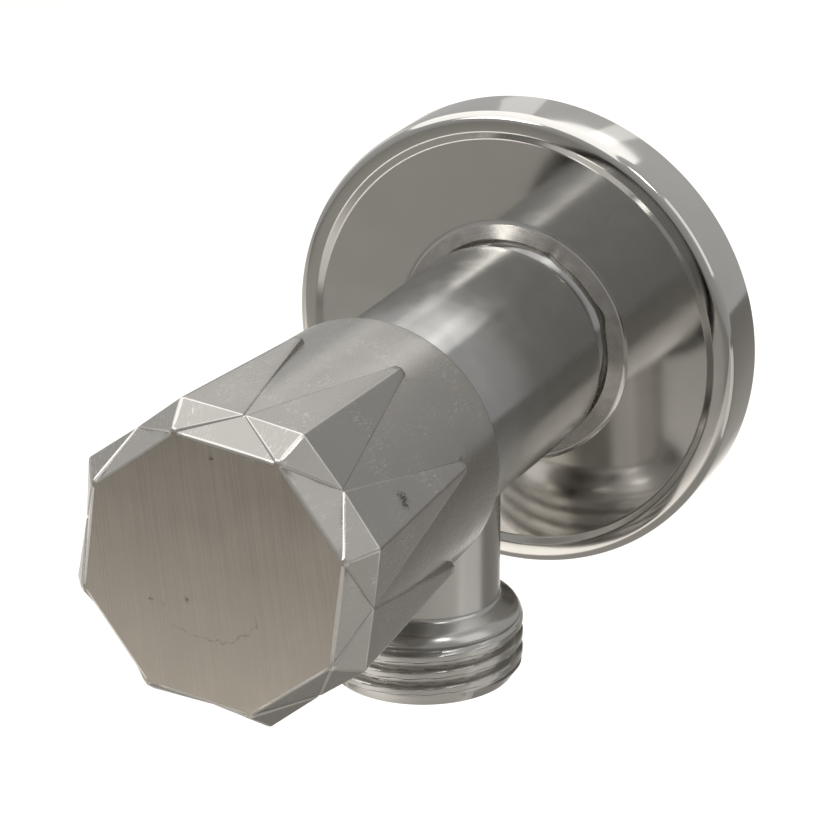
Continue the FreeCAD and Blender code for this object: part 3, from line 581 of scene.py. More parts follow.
@dataclass(frozen=True)
class Mark:
    """A dark mark: a spot or, where ring is set, a faint wandering line round part of a circle."""

    place: tuple[float, float, float]
    size: float
    darkness: float
    ring: float = 0.0
    spot_fray: float = 0.18 * MM
    line_fray: float = 0.45 * MM

    def shade(self, graph: ShaderGraph) -> bpy.types.NodeSocket:
        """The share of the surface's own lightness that the mark leaves.

        Args:
            graph: the finish's nodes.

        Returns:
            The share's socket.
        """
        offset = graph.add("ShaderNodeVectorMath", {0: graph.place, 1: self.place},
                           operation="SUBTRACT").outputs[0]
        away = graph.add("ShaderNodeVectorMath", {0: offset}, operation="LENGTH").outputs["Value"]
        if self.ring > 0.0:
            away = self.off_line(graph, offset, away)
            fray = graph.noise(graph.place, 1.0 / self.line_fray, 4.0)
        else:
            fray = graph.noise(graph.place, 1.0 / self.spot_fray, 3.0)
        away = graph.math("ADD", away, graph.spread(fray, -0.7 * self.size, 1.1 * self.size))
        return graph.remap(away, 0.5 * self.size, self.size, 1.0 - self.darkness, 1.0)

    def off_line(self, graph: ShaderGraph, offset: bpy.types.NodeSocket,
                 away: bpy.types.NodeSocket) -> bpy.types.NodeSocket:
        """How far a point lies off the mark's line, which ends in the upper part of its circle.

        Args:
            graph: the finish's nodes.
            offset: from the circle's middle to the point.
            away: the offset's length.

        Returns:
            The distance's socket.
        """
        clouds = graph.noise(graph.place, 2.0 / self.ring, 2.0)
        wander = graph.spread(clouds, 0.88 * self.ring, 1.12 * self.ring)
        up = graph.add("ShaderNodeSeparateXYZ", {0: offset}).outputs[2]
        ending = graph.remap(up, -0.45 * self.ring, 0.35 * self.ring, 0.0, 3.0 * self.size)
        return graph.math("ADD", graph.math("ABSOLUTE", graph.math("SUBTRACT", away, wander)), ending)


@dataclass(frozen=True)
class Steel:
    """A metal finish: brushed, satin or polished."""

    name: str
    colour: tuple[float, float, float]
    roughness: float
    grain: Grain = Grain.NONE
    grain_depth: float = 1.0 * MICRON
    grain_width: float = 0.10 * MM
    grain_length: float = 6.0 * MM
    grain_rough: float = 0.03
    streak: float = 0.05
    mottle: float = 0.02
    mottle_size: float = 7.0 * MM
    ripple: float = 0.0
    ripple_size: float = 9.0 * MM
    smudge: float = 0.02
    stretch: float = 0.0
    scratches: float = 0.0
    scratch_length: float = 0.9 * MM
    scratch_width: float = 0.09 * MM
    scratch_patch: float = 5.0 * MM
    marks: tuple[Mark, ...] = ()

    def scratched(self, graph: ShaderGraph, level: bpy.types.NodeSocket) -> bpy.types.NodeSocket:
        """Lighten a level along short fine scratches that come in patches.

        Args:
            graph: the finish's nodes.
            level: how light the surface is.

        Returns:
            The level with the scratches.
        """
        drawn = graph.grain_place(self.grain, self.scratch_length, self.scratch_width)
        lines = graph.remap(graph.noise(drawn, 1.0, 2.0, 0.5), 0.58, 0.68, 0.0, self.scratches)
        patches = graph.remap(graph.noise(graph.place, 1.0 / self.scratch_patch, 2.0), 0.47, 0.60, 0.0, 1.0)
        shine = graph.math("MULTIPLY", lines, patches)
        return graph.math("ADD", level, shine)

    def material(self) -> bpy.types.Material:
        """Wire the finish up.

        Returns:
            The material.
        """
        graph = ShaderGraph(self.name)
        clouds = graph.noise(graph.place, 1.0 / self.mottle_size, 2.0, 0.5)
        level = graph.spread(clouds, 1.0 - self.mottle, 1.0 + self.mottle)
        rough = graph.spread(graph.noise(graph.place, 1.7 / self.mottle_size, 2.0),
                             self.roughness - self.smudge, self.roughness + self.smudge)
        normal = None
        if self.ripple > 0.0:
            waves = graph.noise(graph.place, 1.0 / self.ripple_size, 1.0, 0.4)
            normal = graph.bump(waves, self.ripple)
        if self.grain is not Grain.NONE:
            stretched = graph.grain_place(self.grain, self.grain_length, self.grain_width)
            fine = graph.noise(stretched, 1.0, 4.0, 0.7)
            level = graph.math("MULTIPLY", level, graph.spread(fine, 1.0 - self.streak, 1.0 + self.streak))
            normal = graph.bump(fine, self.grain_depth, 1.0, normal)
            rough = graph.math("ADD", rough, graph.spread(fine, -self.grain_rough, self.grain_rough))
        if self.scratches > 0.0:
            level = self.scratched(graph, level)
        for mark in self.marks:
            level = graph.math("MULTIPLY", level, mark.shade(graph))
        graph.tree.links.new(graph.scaled(self.colour, level), graph.shader.inputs["Base Color"])
        graph.tree.links.new(rough, graph.shader.inputs["Roughness"])
        if normal is not None:
            graph.tree.links.new(normal, graph.shader.inputs["Normal"])
        if self.stretch > 0.0:
            graph.shader.inputs["Anisotropic"].default_value = self.stretch
            along = graph.add("ShaderNodeCombineXYZ", {1: 1.0}).outputs[0]
            graph.tree.links.new(along, graph.shader.inputs["Tangent"])
        graph.shader.inputs["Metallic"].default_value = 1.0
        return graph.material


@dataclass(frozen=True)
class Soft:
    """A rubber, plastic or ceramic finish."""

    name: str
    colour: tuple[float, float, float]
    roughness: float
    speckle: float = 0.1
    speckle_size: float = 0.6 * MM
    speckle_rough: float = 0.05
    depth: float = 2.0 * MICRON

    def material(self) -> bpy.types.Material:
        """Wire the finish up.

        Returns:
            The material.
        """
        graph = ShaderGraph(self.name)
        specks = graph.noise(graph.place, 1.0 / self.speckle_size, 4.0)
        colour = graph.mix(specks, tint(self.colour, 1.0 - self.speckle),
                           tint(self.colour, 1.0 + self.speckle))
        rough = graph.spread(specks, self.roughness - self.speckle_rough, self.roughness + self.speckle_rough)
        graph.tree.links.new(colour, graph.shader.inputs["Base Color"])
        graph.tree.links.new(rough, graph.shader.inputs["Roughness"])
        graph.tree.links.new(graph.bump(specks, self.depth), graph.shader.inputs["Normal"])
        return graph.material


FACE_MARKS = (
    Mark((0.2 * MM, -KNOB_FACE, 11.9 * MM), 0.30 * MM, 0.65),
    Mark((-6.65 * MM, -KNOB_FACE, -3.6 * MM), 0.26 * MM, 0.6),
    Mark((-2.7 * MM, -KNOB_FACE, -3.0 * MM), 0.34 * MM, 0.6),
    Mark((0.2 * MM, -KNOB_FACE, -13.6 * MM), 0.35 * MM, 0.6),
    Mark((-0.5 * MM, -KNOB_FACE, -1.64 * MM), 0.13 * MM, 0.22, 5.46 * MM),
)
SKIRT_MARKS = (
    Mark((14.3 * MM, -63.7 * MM, 5.9 * MM), 0.85 * MM, 0.75),
    Mark((14.5 * MM, -64.2 * MM, 5.35 * MM), 0.70 * MM, 0.7),
)


@dataclass(frozen=True)
class Finishes:
    """Every finish on the valve."""

    tube: Steel = Steel("tube_steel", (0.45, 0.445, 0.43), 0.19, Grain.AROUND, 0.10 * MICRON,
                        streak=0.03, stretch=0.7, mottle=0.05, mottle_size=4.0 * MM,
                        ripple=2.5 * MICRON, ripple_size=5.0 * MM)
    outlet: Steel = Steel("outlet_steel", (0.515, 0.50, 0.475), 0.24, Grain.OUTLET, 0.05 * MICRON,
                          streak=0.015)
    mirror: Steel = Steel("mirror_steel", (0.62, 0.60, 0.565), 0.09, ripple=8.0 * MICRON)
    lip: Steel = Steel("flange_lip_rolled", (0.40, 0.375, 0.345), 0.26, Grain.AROUND, 1.2 * MICRON,
                       grain_width=0.3 * MM, mottle=0.10, mottle_size=1.5 * MM,
                       ripple=14.0 * MICRON, ripple_size=1.8 * MM)
    skirt: Steel = Steel("knob_skirt_satin", (0.388, 0.370, 0.343), 0.28, Grain.ALONG, 0.2 * MICRON,
                         grain_width=0.07 * MM, grain_length=1.6 * MM, streak=0.025, scratches=0.42,
                         marks=SKIRT_MARKS)
    face: Steel = Steel("knob_face_brushed", (0.330, 0.300, 0.263), 0.20, Grain.FACE, 0.25 * MICRON,
                        grain_length=14.0 * MM, streak=0.08, scratches=0.12, marks=FACE_MARKS)
    # The knob's rounded edge strips are much lighter than the face and skirt: a painted highlight along the
    # edges, on top of their wear.
    edge: Steel = Steel("knob_edge_wear_and_highlight", (0.66, 0.64, 0.60), 0.30, Grain.ALONG, 0.3 * MICRON)
    # Inside the hollow, on the rib and in the screw's hole the colour is very dark: painted shade in the
    # knob's recesses, on a mottled, rippled casting.
    hollow: Steel = Steel("knob_hollow_painted_shade", (0.11, 0.105, 0.098), 0.42, mottle=0.12,
                          mottle_size=2.0 * MM, ripple=6.0 * MICRON, ripple_size=0.9 * MM)
    brass: Steel = Steel("cartridge_brass", (0.62, 0.45, 0.20), 0.22, Grain.AROUND, 0.6 * MICRON)
    screw: Steel = Steel("screw_steel", (0.25, 0.25, 0.25), 0.35)
    ceramic: Soft = Soft("ceramic_white", (0.78, 0.76, 0.70), 0.12, 0.03)
    rubber: Soft = Soft("seal_rubber", (0.022, 0.022, 0.024), 0.55)
    plastic: Soft = Soft("washer_white", (0.70, 0.70, 0.68), 0.35, 0.05)


@dataclass
class ValveBody:
    """The turned steel body: tube, hidden inlet thread and threaded outlet, in one piece."""

    thread_radius: float = 10.4775 * MM
    inlet_end: float = -13.0 * MM
    shank_radius: float = 10.2 * MM
    shank_back: float = 5.0 * MM
    shoulder: float = 9.2 * MM
    tube_radius: float = 11.7 * MM
    tube_chamfer: float = 0.6 * MM
    heel_round: float = 0.3 * MM
    heel_crown: float = 0.6 * MM
    front: float = 46.0 * MM
    end_chamfer: float = 1.0 * MM
    neck_radius: float = 8.05 * MM
    neck_end: float = 20.3 * MM
    neck_round: float = 0.7 * MM
    collar_top: float = 21.7 * MM
    collar_round: float = 2.3 * MM
    outlet_end: float = 29.0 * MM
    outlet_bore: float = 6.3 * MM
    edge_round: float = 0.18 * MM
    inlet_bore: float = 6.5 * MM
    web_back: float = 15.0 * MM
    throat: float = 4.8 * MM
    seat: float = 18.0 * MM
    chamber: float = 9.1 * MM
    chamber_end: float = 36.0 * MM
    cartridge_thread: float = 9.5 * MM
    inlet_thread_depth: float = 1.0 * MM
    outlet_thread_gap: float = 0.2 * MM
    outlet_above: float = 0.5 * MM
    tool_spare: float = 1.0 * MM

    def tube(self) -> bpy.types.Object:
        """Turn the solid tube with its inlet thread.

        Returns:
            The object.
        """
        chamfer = self.tube_chamfer
        corners = [
            Corner(0.0, self.inlet_end),
            Corner(self.thread_radius - self.end_chamfer, self.inlet_end, self.edge_round),
            Corner(self.thread_radius, self.inlet_end + self.end_chamfer, self.edge_round),
            Corner(self.thread_radius, self.shank_back, self.edge_round),
            Corner(self.shank_radius, self.shank_back, self.edge_round),
            Corner(self.shank_radius, self.shoulder, self.edge_round),
            Corner(self.tube_radius - chamfer, self.shoulder, self.heel_round),
            Corner(self.tube_radius, self.shoulder + chamfer, self.heel_crown),
            Corner(self.tube_radius, self.front - chamfer, self.edge_round),
            Corner(self.tube_radius - chamfer, self.front, self.edge_round),
            Corner(0.0, self.front),
        ]
        thread = Thread(self.thread_radius, self.inlet_end - self.end_chamfer, self.shank_back,
                        depth=self.inlet_thread_depth)
        return turned("valve_body_turned", rounded_outline(corners), Axis.INLET, thread=thread)

    def outlet(self) -> bpy.types.Object:
        """Turn the outlet's neck, collar and thread.

        Returns:
            The object.
        """
        corners = [
            Corner(0.0, 0.0),
            Corner(self.neck_radius, 0.0),
            Corner(self.neck_radius, self.neck_end, self.neck_round),
            Corner(self.thread_radius, self.collar_top, self.collar_round),
            Corner(self.thread_radius, self.outlet_end - self.end_chamfer, self.edge_round),
            Corner(self.thread_radius - self.end_chamfer, self.outlet_end, self.edge_round),
            Corner(0.0, self.outlet_end),
        ]
        outline = rounded_outline(corners, steps=10)
        thread = Thread(self.thread_radius, self.collar_top + self.outlet_thread_gap, self.outlet_end)
        return turned("outlet_turned", outline, Axis.OUTLET, thread=thread)

    def waterway(self) -> bpy.types.Object:
        """Turn the form of the bored way through the tube.

        Returns:
            The object, to be cut out.
        """
        rear = self.inlet_end - self.tool_spare
        front = self.front + self.tool_spare
        corners = [
            Corner(0.0, rear),
            Corner(self.inlet_bore, rear),
            Corner(self.inlet_bore, self.web_back),
            Corner(self.throat, self.web_back),
            Corner(self.throat, self.seat),
            Corner(self.chamber, self.seat),
            Corner(self.chamber, self.chamber_end),
            Corner(self.cartridge_thread, self.chamber_end),
            Corner(self.cartridge_thread, front),
            Corner(0.0, front),
        ]
        return turned("waterway", rounded_outline(corners), Axis.INLET, segments=96)

    def outlet_way(self) -> bpy.types.Object:
        """Turn the form of the outlet's bore.

        Returns:
            The object, to be cut out.
        """
        end = self.outlet_end + self.tool_spare
        corners = [Corner(0.0, self.outlet_above), Corner(self.outlet_bore, self.outlet_above),
                   Corner(self.outlet_bore, end), Corner(0.0, end)]
        return turned("outlet_way", rounded_outline(corners), Axis.OUTLET, segments=96)

    def build(self, finishes: Finishes) -> list[bpy.types.Object]:
        """Build and dress the body.

        Args:
            finishes: the valve's finishes.

        Returns:
            The pieces.
        """
        piece = combine(self.tube(), self.outlet(), Joining.ADD)
        combine(piece, self.waterway(), Joining.CUT)
        combine(piece, self.outlet_way(), Joining.CUT)
        smooth(piece)
        piece.data.materials.clear()
        piece.data.materials.append(finishes.tube.material())
        piece.data.materials.append(finishes.outlet.material())
        for face in piece.data.polygons:
            below = -face.center.z > self.tube_radius + self.outlet_above
            face.material_index = BodyZone.OUTLET if below else BodyZone.TUBE
        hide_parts("valve_body")
        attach(piece, "valve")
        return [piece]


@dataclass(frozen=True)
class Dent:
    """An uneven place on the flange's lip; its bearing and width are in degrees."""

    bearing: float
    width: float
    sink: float
    push: float


@dataclass
class WallFlange:
    """The drawn and polished cover that slips over the inlet."""

    radius: float = 25.4 * MM
    depth: float = 6.8 * MM
    sheet: float = 0.9 * MM
    bead_width: float = 2.1 * MM
    bead_height: float = 0.32 * MM
    bead_blend: float = 0.8 * MM
    hole: float = 10.9 * MM
    lip_width: float = 2.4 * MM
    lip_crest: float = 0.65 * MM
    lip_height: float = 0.6 * MM
    lip_inside_fall: float = 0.15 * MM
    corner: float = 1.7 * MM
    sheet_round: float = 0.15 * MM
    bead_round: float = 0.7 * MM
    lip_blend: float = 1.2 * MM
    lip_round: float = 0.22 * MM
    lip_inside_round: float = 0.3 * MM
    lip_margin: float = 0.5 * MM
    unevenness: float = 0.10 * MM
    dents: tuple[Dent, ...] = (
        Dent(24.0, 3.0, 0.22 * MM, 0.10 * MM),
        Dent(31.0, 4.0, 0.05 * MM, -0.12 * MM),
        Dent(66.0, 6.0, 0.05 * MM, 0.45 * MM),
        Dent(82.0, 9.0, 0.15 * MM, -0.10 * MM),
        Dent(-20.0, 12.0, 0.12 * MM, 0.10 * MM),
    )

    def batter_lip(self, piece: bpy.types.Object) -> None:
        """Press the lip down unevenly, as rolling left it.

        Args:
            piece: the turned cover.
        """
        face = self.depth - self.bead_height
        reach = self.hole + self.lip_width
        for vertex in piece.data.vertices:
            place = vertex.co
            radius = math.hypot(place.x, place.z)
            if radius > reach or -place.y < face + 0.02 * MM:
                continue
            bearing = math.degrees(math.atan2(place.x, place.z))
            share = (-place.y - face) / (self.depth + self.lip_height - face)
            waves = math.sin(math.radians(3.0 * bearing + 40.0)) * math.sin(math.radians(5.0 * bearing))
            sink = self.unevenness * (1.0 + waves)
            push = 0.0
            for dent in self.dents:
                weight = math.exp(-((bearing - dent.bearing) / dent.width) ** 2)
                sink += dent.sink * weight
                push += dent.push * weight
            place.y += sink * share
            place.x += push * share * place.x / radius
            place.z += push * share * place.z / radius

    def outline(self) -> Outline:
        """The section of the sheet, from the wall over the bead to the hole and back.

        Returns:
            The closed outline.
        """
        face = self.depth - self.bead_height
        crest = self.depth + self.lip_height
        inner_bead = self.radius - self.bead_width
        corners = [
            Corner(self.radius, 0.0, self.sheet_round),
            Corner(self.radius, self.depth, self.corner),
            Corner(inner_bead, self.depth, self.bead_round),
            Corner(inner_bead - self.bead_blend, face, self.bead_round),
            Corner(self.hole + self.lip_width, face, self.lip_blend),
            Corner(self.hole + self.lip_crest, crest, self.lip_round),
            Corner(self.hole, crest - self.lip_inside_fall, self.lip_inside_round),
            Corner(self.hole, face - self.sheet, self.sheet_round),
            Corner(self.radius - self.sheet, face - self.sheet, self.corner - self.sheet),
            Corner(self.radius - self.sheet, 0.0, self.sheet_round),
        ]
        return rounded_outline(corners, steps=10)

    def build(self, finishes: Finishes) -> list[bpy.types.Object]:
        """Build and dress the cover.

        Args:
            finishes: the valve's finishes.

        Returns:
            The pieces.
        """
        piece = turned("wall_flange_drawn", self.outline(), Axis.INLET, segments=288)
        self.batter_lip(piece)
        piece.data.shade_smooth()
        piece.data.materials.append(finishes.mirror.material())
        piece.data.materials.append(finishes.lip.material())
        for face in piece.data.polygons:
            radius = math.hypot(face.center.x, face.center.z)
            near_hole = radius < self.hole + self.lip_width - self.lip_margin
            in_front = -face.center.y > self.depth - self.bead_height
            face.material_index = FlangeZone.LIP if near_hole and in_front else FlangeZone.COVER
        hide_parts("wall_flange")
        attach(piece, "valve")
        return [piece]


@dataclass
class Knob:
    """The cast octagonal knob with eight faceted points on a round skirt."""

    sides: int = 8
    turn: float = math.radians(-15.2)
    front: float = KNOB_FACE
    face_corner: float = 14.7 * MM
    edge_station: float = 72.6 * MM
    edge_corner: float = 16.8 * MM
    middle_station: float = 72.12 * MM
    middle_radius: float = 15.39 * MM
    nose_station: float = 49.7 * MM
    nose_radius: float = 15.15 * MM
    nose_half: float = 0.65 * MM
    tip_half: float = 0.30 * MM
    middle_gap: float = 0.1 * MM
    middle_ledge: float = 0.13 * MM
    face_ledge: float = 0.28 * MM
    rear: float = 40.2 * MM
    rear_radius: float = 13.8 * MM
    rim: float = 0.4 * MM
    mouth: float = 12.4 * MM
    ceiling: float = 72.4 * MM
    cavity_end: float = 13.14 * MM
    hub: float = 8.2 * MM
    hub_back: float = 54.85 * MM
    seat_radius: float = 6.22 * MM
    seat_end: float = 65.15 * MM
    rib_half: float = 4.0 * MM
    rib_sunk: float = 0.3 * MM
    rib_root: float = 1.0 * MM
    rib_tip: float = 0.9 * MM
    screw_station: float = 59.0 * MM
    screw_hole: float = 2.02 * MM
    edge_soft: float = 0.25 * MM
    rim_soft: float = 0.10 * MM
    ledge_soft: float = 0.18 * MM
    foot_soft: float = 0.05 * MM
    nose_drop: float = 0.8 * MM
    foot_sag: tuple[float, ...] = (0.05 * MM, 0.12 * MM, 0.18 * MM, 0.2 * MM, 0.2 * MM)
    face_border: float = 0.94
    mouth_round: float = 0.15 * MM
    cavity_round: float = 0.8 * MM
    hub_round: float = 0.3 * MM
    seat_round: float = 0.15 * MM
    seat_corner: float = 0.1 * MM
    seat_middle: float = 0.5 * MM
    drill_root: float = 2.0 * MM
    drill_spare: float = 1.0 * MM
    drill_sides: int = 48
    sharp_degrees: float = 30.0
    point_columns: int = 4
    bevel_rows: int = 5
    skirt_rows: int = 18
    rear_rows: int = 8

    def half_side(self) -> float:
        """Half the angle of one side."""
        return math.pi / self.sides

    def slope(self) -> float:
        """Fall of a point's facet for each unit across it."""
        across = self.middle_radius * math.sin(self.half_side())
        return (self.edge_corner - self.middle_radius * math.cos(self.half_side())) / across

    def lean(self) -> float:
        """How far a point's section leans back for each unit it falls."""
        fall = self.edge_corner - self.middle_radius * math.cos(self.half_side())
        return (self.edge_station - self.middle_station) / fall

    def facet(self, across: float, ridge: float, station: float) -> np.ndarray:
        """A place on a point's section, which falls and leans back from its ridge.

        Args:
            across: distance from the ridge, along the side.
            ridge: the ridge's radius.
            station: the ridge's station.

        Returns:
            The place as across, up and station.
        """
        fall = self.slope() * across
        return np.array((across, ridge - fall, station - self.lean() * fall))

    def core_radius(self, station: float) -> float:
        """Radius of the round skirt between the points."""
        share = (station - self.rear) / (self.middle_station - self.rear)
        return self.rear_radius + (self.middle_radius - self.middle_ledge - self.rear_radius) * share

    def core_flat(self, station: float) -> float:
        """Distance from the axis to the flat bevel between the points."""
        face_flat = self.face_corner * math.cos(self.half_side()) - self.face_ledge
        share = (self.front - station) / (self.front - self.middle_station)
        return face_flat + (self.middle_radius - self.middle_ledge - face_flat) * share

    def across_point(self, ridge: np.ndarray, top: np.ndarray) -> list[np.ndarray]:
        """Places from a point's ridge to the top of its wall.

        Args:
            ridge: the place on the ridge.
            top: the place on top of the wall.

        Returns:
            The places, with both ends.
        """
        last = self.point_columns - 1
        return [ridge + (top - ridge) * step / last for step in range(self.point_columns)]

    def bevel_row(self, share: float) -> np.ndarray:
        """Half a side's row on the bevel, from the ridge to the side's middle.

        Args:
            share: 0 at the face, 1 at the edge.

        Returns:
            The row's places.
        """
        ridge = np.array((0.0, self.face_corner + (self.edge_corner - self.face_corner) * share,
                          self.front + (self.edge_station - self.front) * share))
        middle = self.middle_radius * math.sin(self.half_side()) - self.middle_gap
        tip = self.facet(self.tip_half, self.face_corner, self.front)
        end = self.facet(middle, self.edge_corner, self.edge_station)
        top = tip + (end - tip) * share
        row = self.across_point(ridge, top)
        flat = self.core_flat(top[2])
        sine, cosine = math.sin(self.half_side()), math.cos(self.half_side())
        foot = np.array((top[0], (flat - top[0] * sine) / cosine, top[2]))
        centre_station = self.front + (self.middle_station - self.front) * share
        centre_flat = self.core_flat(centre_station)
        centre = np.array((centre_flat * sine, centre_flat * cosine, centre_station))
        last = self.core_columns() - 1
        row += [foot + (centre - foot) * step / last for step in range(self.core_columns())]
        return np.array(row)

    def skirt_row(self, share: float) -> np.ndarray:
        """Half a side's row on the skirt, from the ridge to the side's middle.

        Args:
            share: 0 at the edge, 1 at the points' noses.

        Returns:
            The row's places.
        """
        ridge = np.array((0.0, self.edge_corner + (self.nose_radius - self.edge_corner) * share,
                          self.edge_station + (self.nose_station - self.edge_station) * share))
        middle = self.middle_radius * math.sin(self.half_side()) - self.middle_gap
        start = self.facet(middle, self.edge_corner, self.edge_station)
        nose = self.facet(self.nose_half, self.nose_radius, self.nose_station)
        top = start + (nose - start) * share
        row = self.across_point(ridge, top)
        row += self.core_arc(top[0], top[2])
        return np.array(row)

    def core_columns(self) -> int:
        """How many places of a row lie on the round skirt."""
        return len(self.foot_sag)

    def core_arc(self, across: float, station: float) -> list[np.ndarray]:
        """Places on the round skirt from the foot of a point's wall to the side's middle.

        Args:
            across: the wall's distance from the ridge.
            station: the row's station.

        Returns:
            The places.
        """
        count = self.core_columns()
        radius = self.core_radius(station)
        first = math.asin(min(across / radius, 1.0))
        angles = [first + (self.half_side() - first) * step / (count - 1) for step in range(count)]
        return [np.array((radius * math.sin(angle), radius * math.cos(angle), station)) for angle in angles]

    def rear_row(self, share: float) -> np.ndarray:
        """Half a side's row behind the noses, all on the round skirt.

        Args:
            share: 0 at the foot of the noses, 1 at the rear rim.

        Returns:
            The row's places.
        """
        nose = self.skirt_row(1.0)
        angles = np.arctan2(nose[:, 0], nose[:, 1])
        even = np.linspace(0.0, self.half_side(), len(nose))
        angles = angles + (even - angles) * min(1.0, 2.0 * share)
        start = nose[:, 2] - self.lean() * self.nose_drop
        start[self.point_columns:] -= np.array(self.foot_sag)
        end = self.rear + self.rim
        stations = start + (end - start) * share
        radii = np.array([self.core_radius(station) for station in stations])
        return np.stack((radii * np.sin(angles), radii * np.cos(angles), stations), axis=1)

    def full_row(self, half: np.ndarray) -> np.ndarray:
        """Mirror half a side and repeat it all the way round.

        Args:
            half: the half side's places.

        Returns:
            The closed row in the frame.
        """
        mirrored = half[-2:0:-1] * np.array((-1.0, 1.0, 1.0))
        places = []
        for side in range(self.sides):
            for row, bearing in ((half, self.turn + 2.0 * self.half_side() * side),
                                 (mirrored, self.turn + 2.0 * self.half_side() * (side + 1))):
                sine, cosine = math.sin(bearing), math.cos(bearing)
                places.append(np.stack((row[:, 0] * cosine + row[:, 1] * sine, -row[:, 2],
                                        row[:, 1] * cosine - row[:, 0] * sine), axis=1))
        return np.concatenate(places)

    def soften_columns(self, grid: np.ndarray, columns: dict[int, float]) -> tuple[np.ndarray, list[int]]:
        """Round the creases that run along the knob.

        Args:
            grid: rows of closed columns.
            columns: reach of the rounding for each column number.

        Returns:
            The grid with three columns in each crease's place, and the old number of every new column.
        """
        count = grid.shape[1]
        made = []
        origins = []
        for column in range(count):
            if column not in columns:
                made.append(grid[:, column])
                origins.append(column)
                continue
            made += self.rounded(grid[:, column - 1], grid[:, column], grid[:, (column + 1) % count],
                                 columns[column])
            origins += [column] * 3
        return np.stack(made, axis=1), origins

    def soften_rows(self, grid: np.ndarray, rows: dict[int, float]) -> tuple[np.ndarray, list[int]]:
        """Round the creases that run round the knob.

        Args:
            grid: rows of closed columns.
            rows: reach of the rounding for each row number.

        Returns:
            The grid with three rows in each crease's place, and the old number of every new row.
        """
        made = []
        origins = []
        for row in range(grid.shape[0]):
            if row not in rows:
                made.append(grid[row])
                origins.append(row)
                continue
            made += self.rounded(grid[row - 1], grid[row], grid[row + 1], rows[row])
            origins += [row] * 3
        return np.stack(made, axis=0), origins

    @staticmethod
    def rounded(before: np.ndarray, crease: np.ndarray, after: np.ndarray, reach: float) -> list[np.ndarray]:
        """Three lines that round a crease between its neighbours.

        Args:
            before: the line on one side.
            crease: the crease itself.
            after: the line on the other side.
            reach: how far the rounding reaches.

        Returns:
            The three lines.
        """
        sides = []
        for other in (before, after):
            step = other - crease
            length = np.linalg.norm(step, axis=1, keepdims=True)
            share = np.minimum(reach / np.maximum(length, 1e-9), 0.42)
            sides.append(crease + step * share)
        return [sides[0], 0.25 * sides[0] + 0.5 * crease + 0.25 * sides[1], sides[1]]

    def skin(self) -> bpy.types.Object:
        """Build the knob's outside and its hollow inside as one closed mesh.

        Returns:
            The object.
        """
        rows = [self.bevel_row(step / self.bevel_rows) for step in range(self.bevel_rows + 1)]
        rows[0][:, 2] = self.front
        edge_row = len(rows) - 1
        rows += [self.skirt_row(step / self.skirt_rows) for step in range(1, self.skirt_rows + 1)]
        nose_row = len(rows) - 1
        rows += [self.rear_row(step / self.rear_rows) for step in range(self.rear_rows + 1)]
        face = rows[0] * np.array((self.face_border, self.face_border, 1.0))
        grid = np.stack([self.full_row(row) for row in [face] + rows])
        per_side = 2 * (len(rows[0]) - 1)
        foot = self.point_columns
        wall = foot - 1
        columns = {}
        for side in range(self.sides):
            first = side * per_side
            columns[first] = self.edge_soft
            for column in (wall, per_side - wall):
                columns[first + column] = self.ledge_soft
            for column in (foot, per_side - foot):
                columns[first + column] = self.foot_soft
        grid, column_of = self.soften_columns(grid, columns)
        grid, row_of = self.soften_rows(grid, {1: self.edge_soft, edge_row + 1: self.rim_soft,
                                               nose_row + 1: self.ledge_soft, nose_row + 2: self.foot_soft})
        shell = Shell()
        rings = [shell.ring([Vector(place) for place in row]) for row in grid]
        centre = Vector((0.0, -self.front, 0.0))
        inner = shell.ring([centre + (shell.points[number] - centre) * 0.5 for number in rings[0]])
        shell.cap(inner, centre, KnobZone.FACE)
        shell.bridge(inner, rings[0], KnobZone.FACE)
        count = len(column_of)
        edges = ((0, 0), (wall, wall), (wall, foot), (per_side - wall, per_side - wall),
                 (per_side - foot, per_side - wall))
        # Bevel faces on the rounded edges take the lighter edge finish, a painted highlight with wear.
        edge_highlight_and_wear = []
        for step in range(count):
            pair = (column_of[step] % per_side, column_of[(step + 1) % count] % per_side)
            edge_highlight_and_wear.append(pair in edges)
        for index in range(len(rings) - 1):
            first, second = rings[index], rings[index + 1]
            on_edge = row_of[index] == row_of[index + 1] and row_of[index] in (1, edge_row + 1)
            on_bevel = 1 <= row_of[index] <= edge_row
            for step in range(count):
                following = (step + 1) % count
                shell.faces.append((first[step], first[following], second[following], second[step]))
                if on_edge or (on_bevel and edge_highlight_and_wear[step]):
                    shell.zones.append(KnobZone.EDGE)
                else:
                    shell.zones.append(KnobZone.SKIRT if row_of[index] else KnobZone.FACE)
        self.close_inside(shell, rings[-1])
        return shell.build("knob_cast")

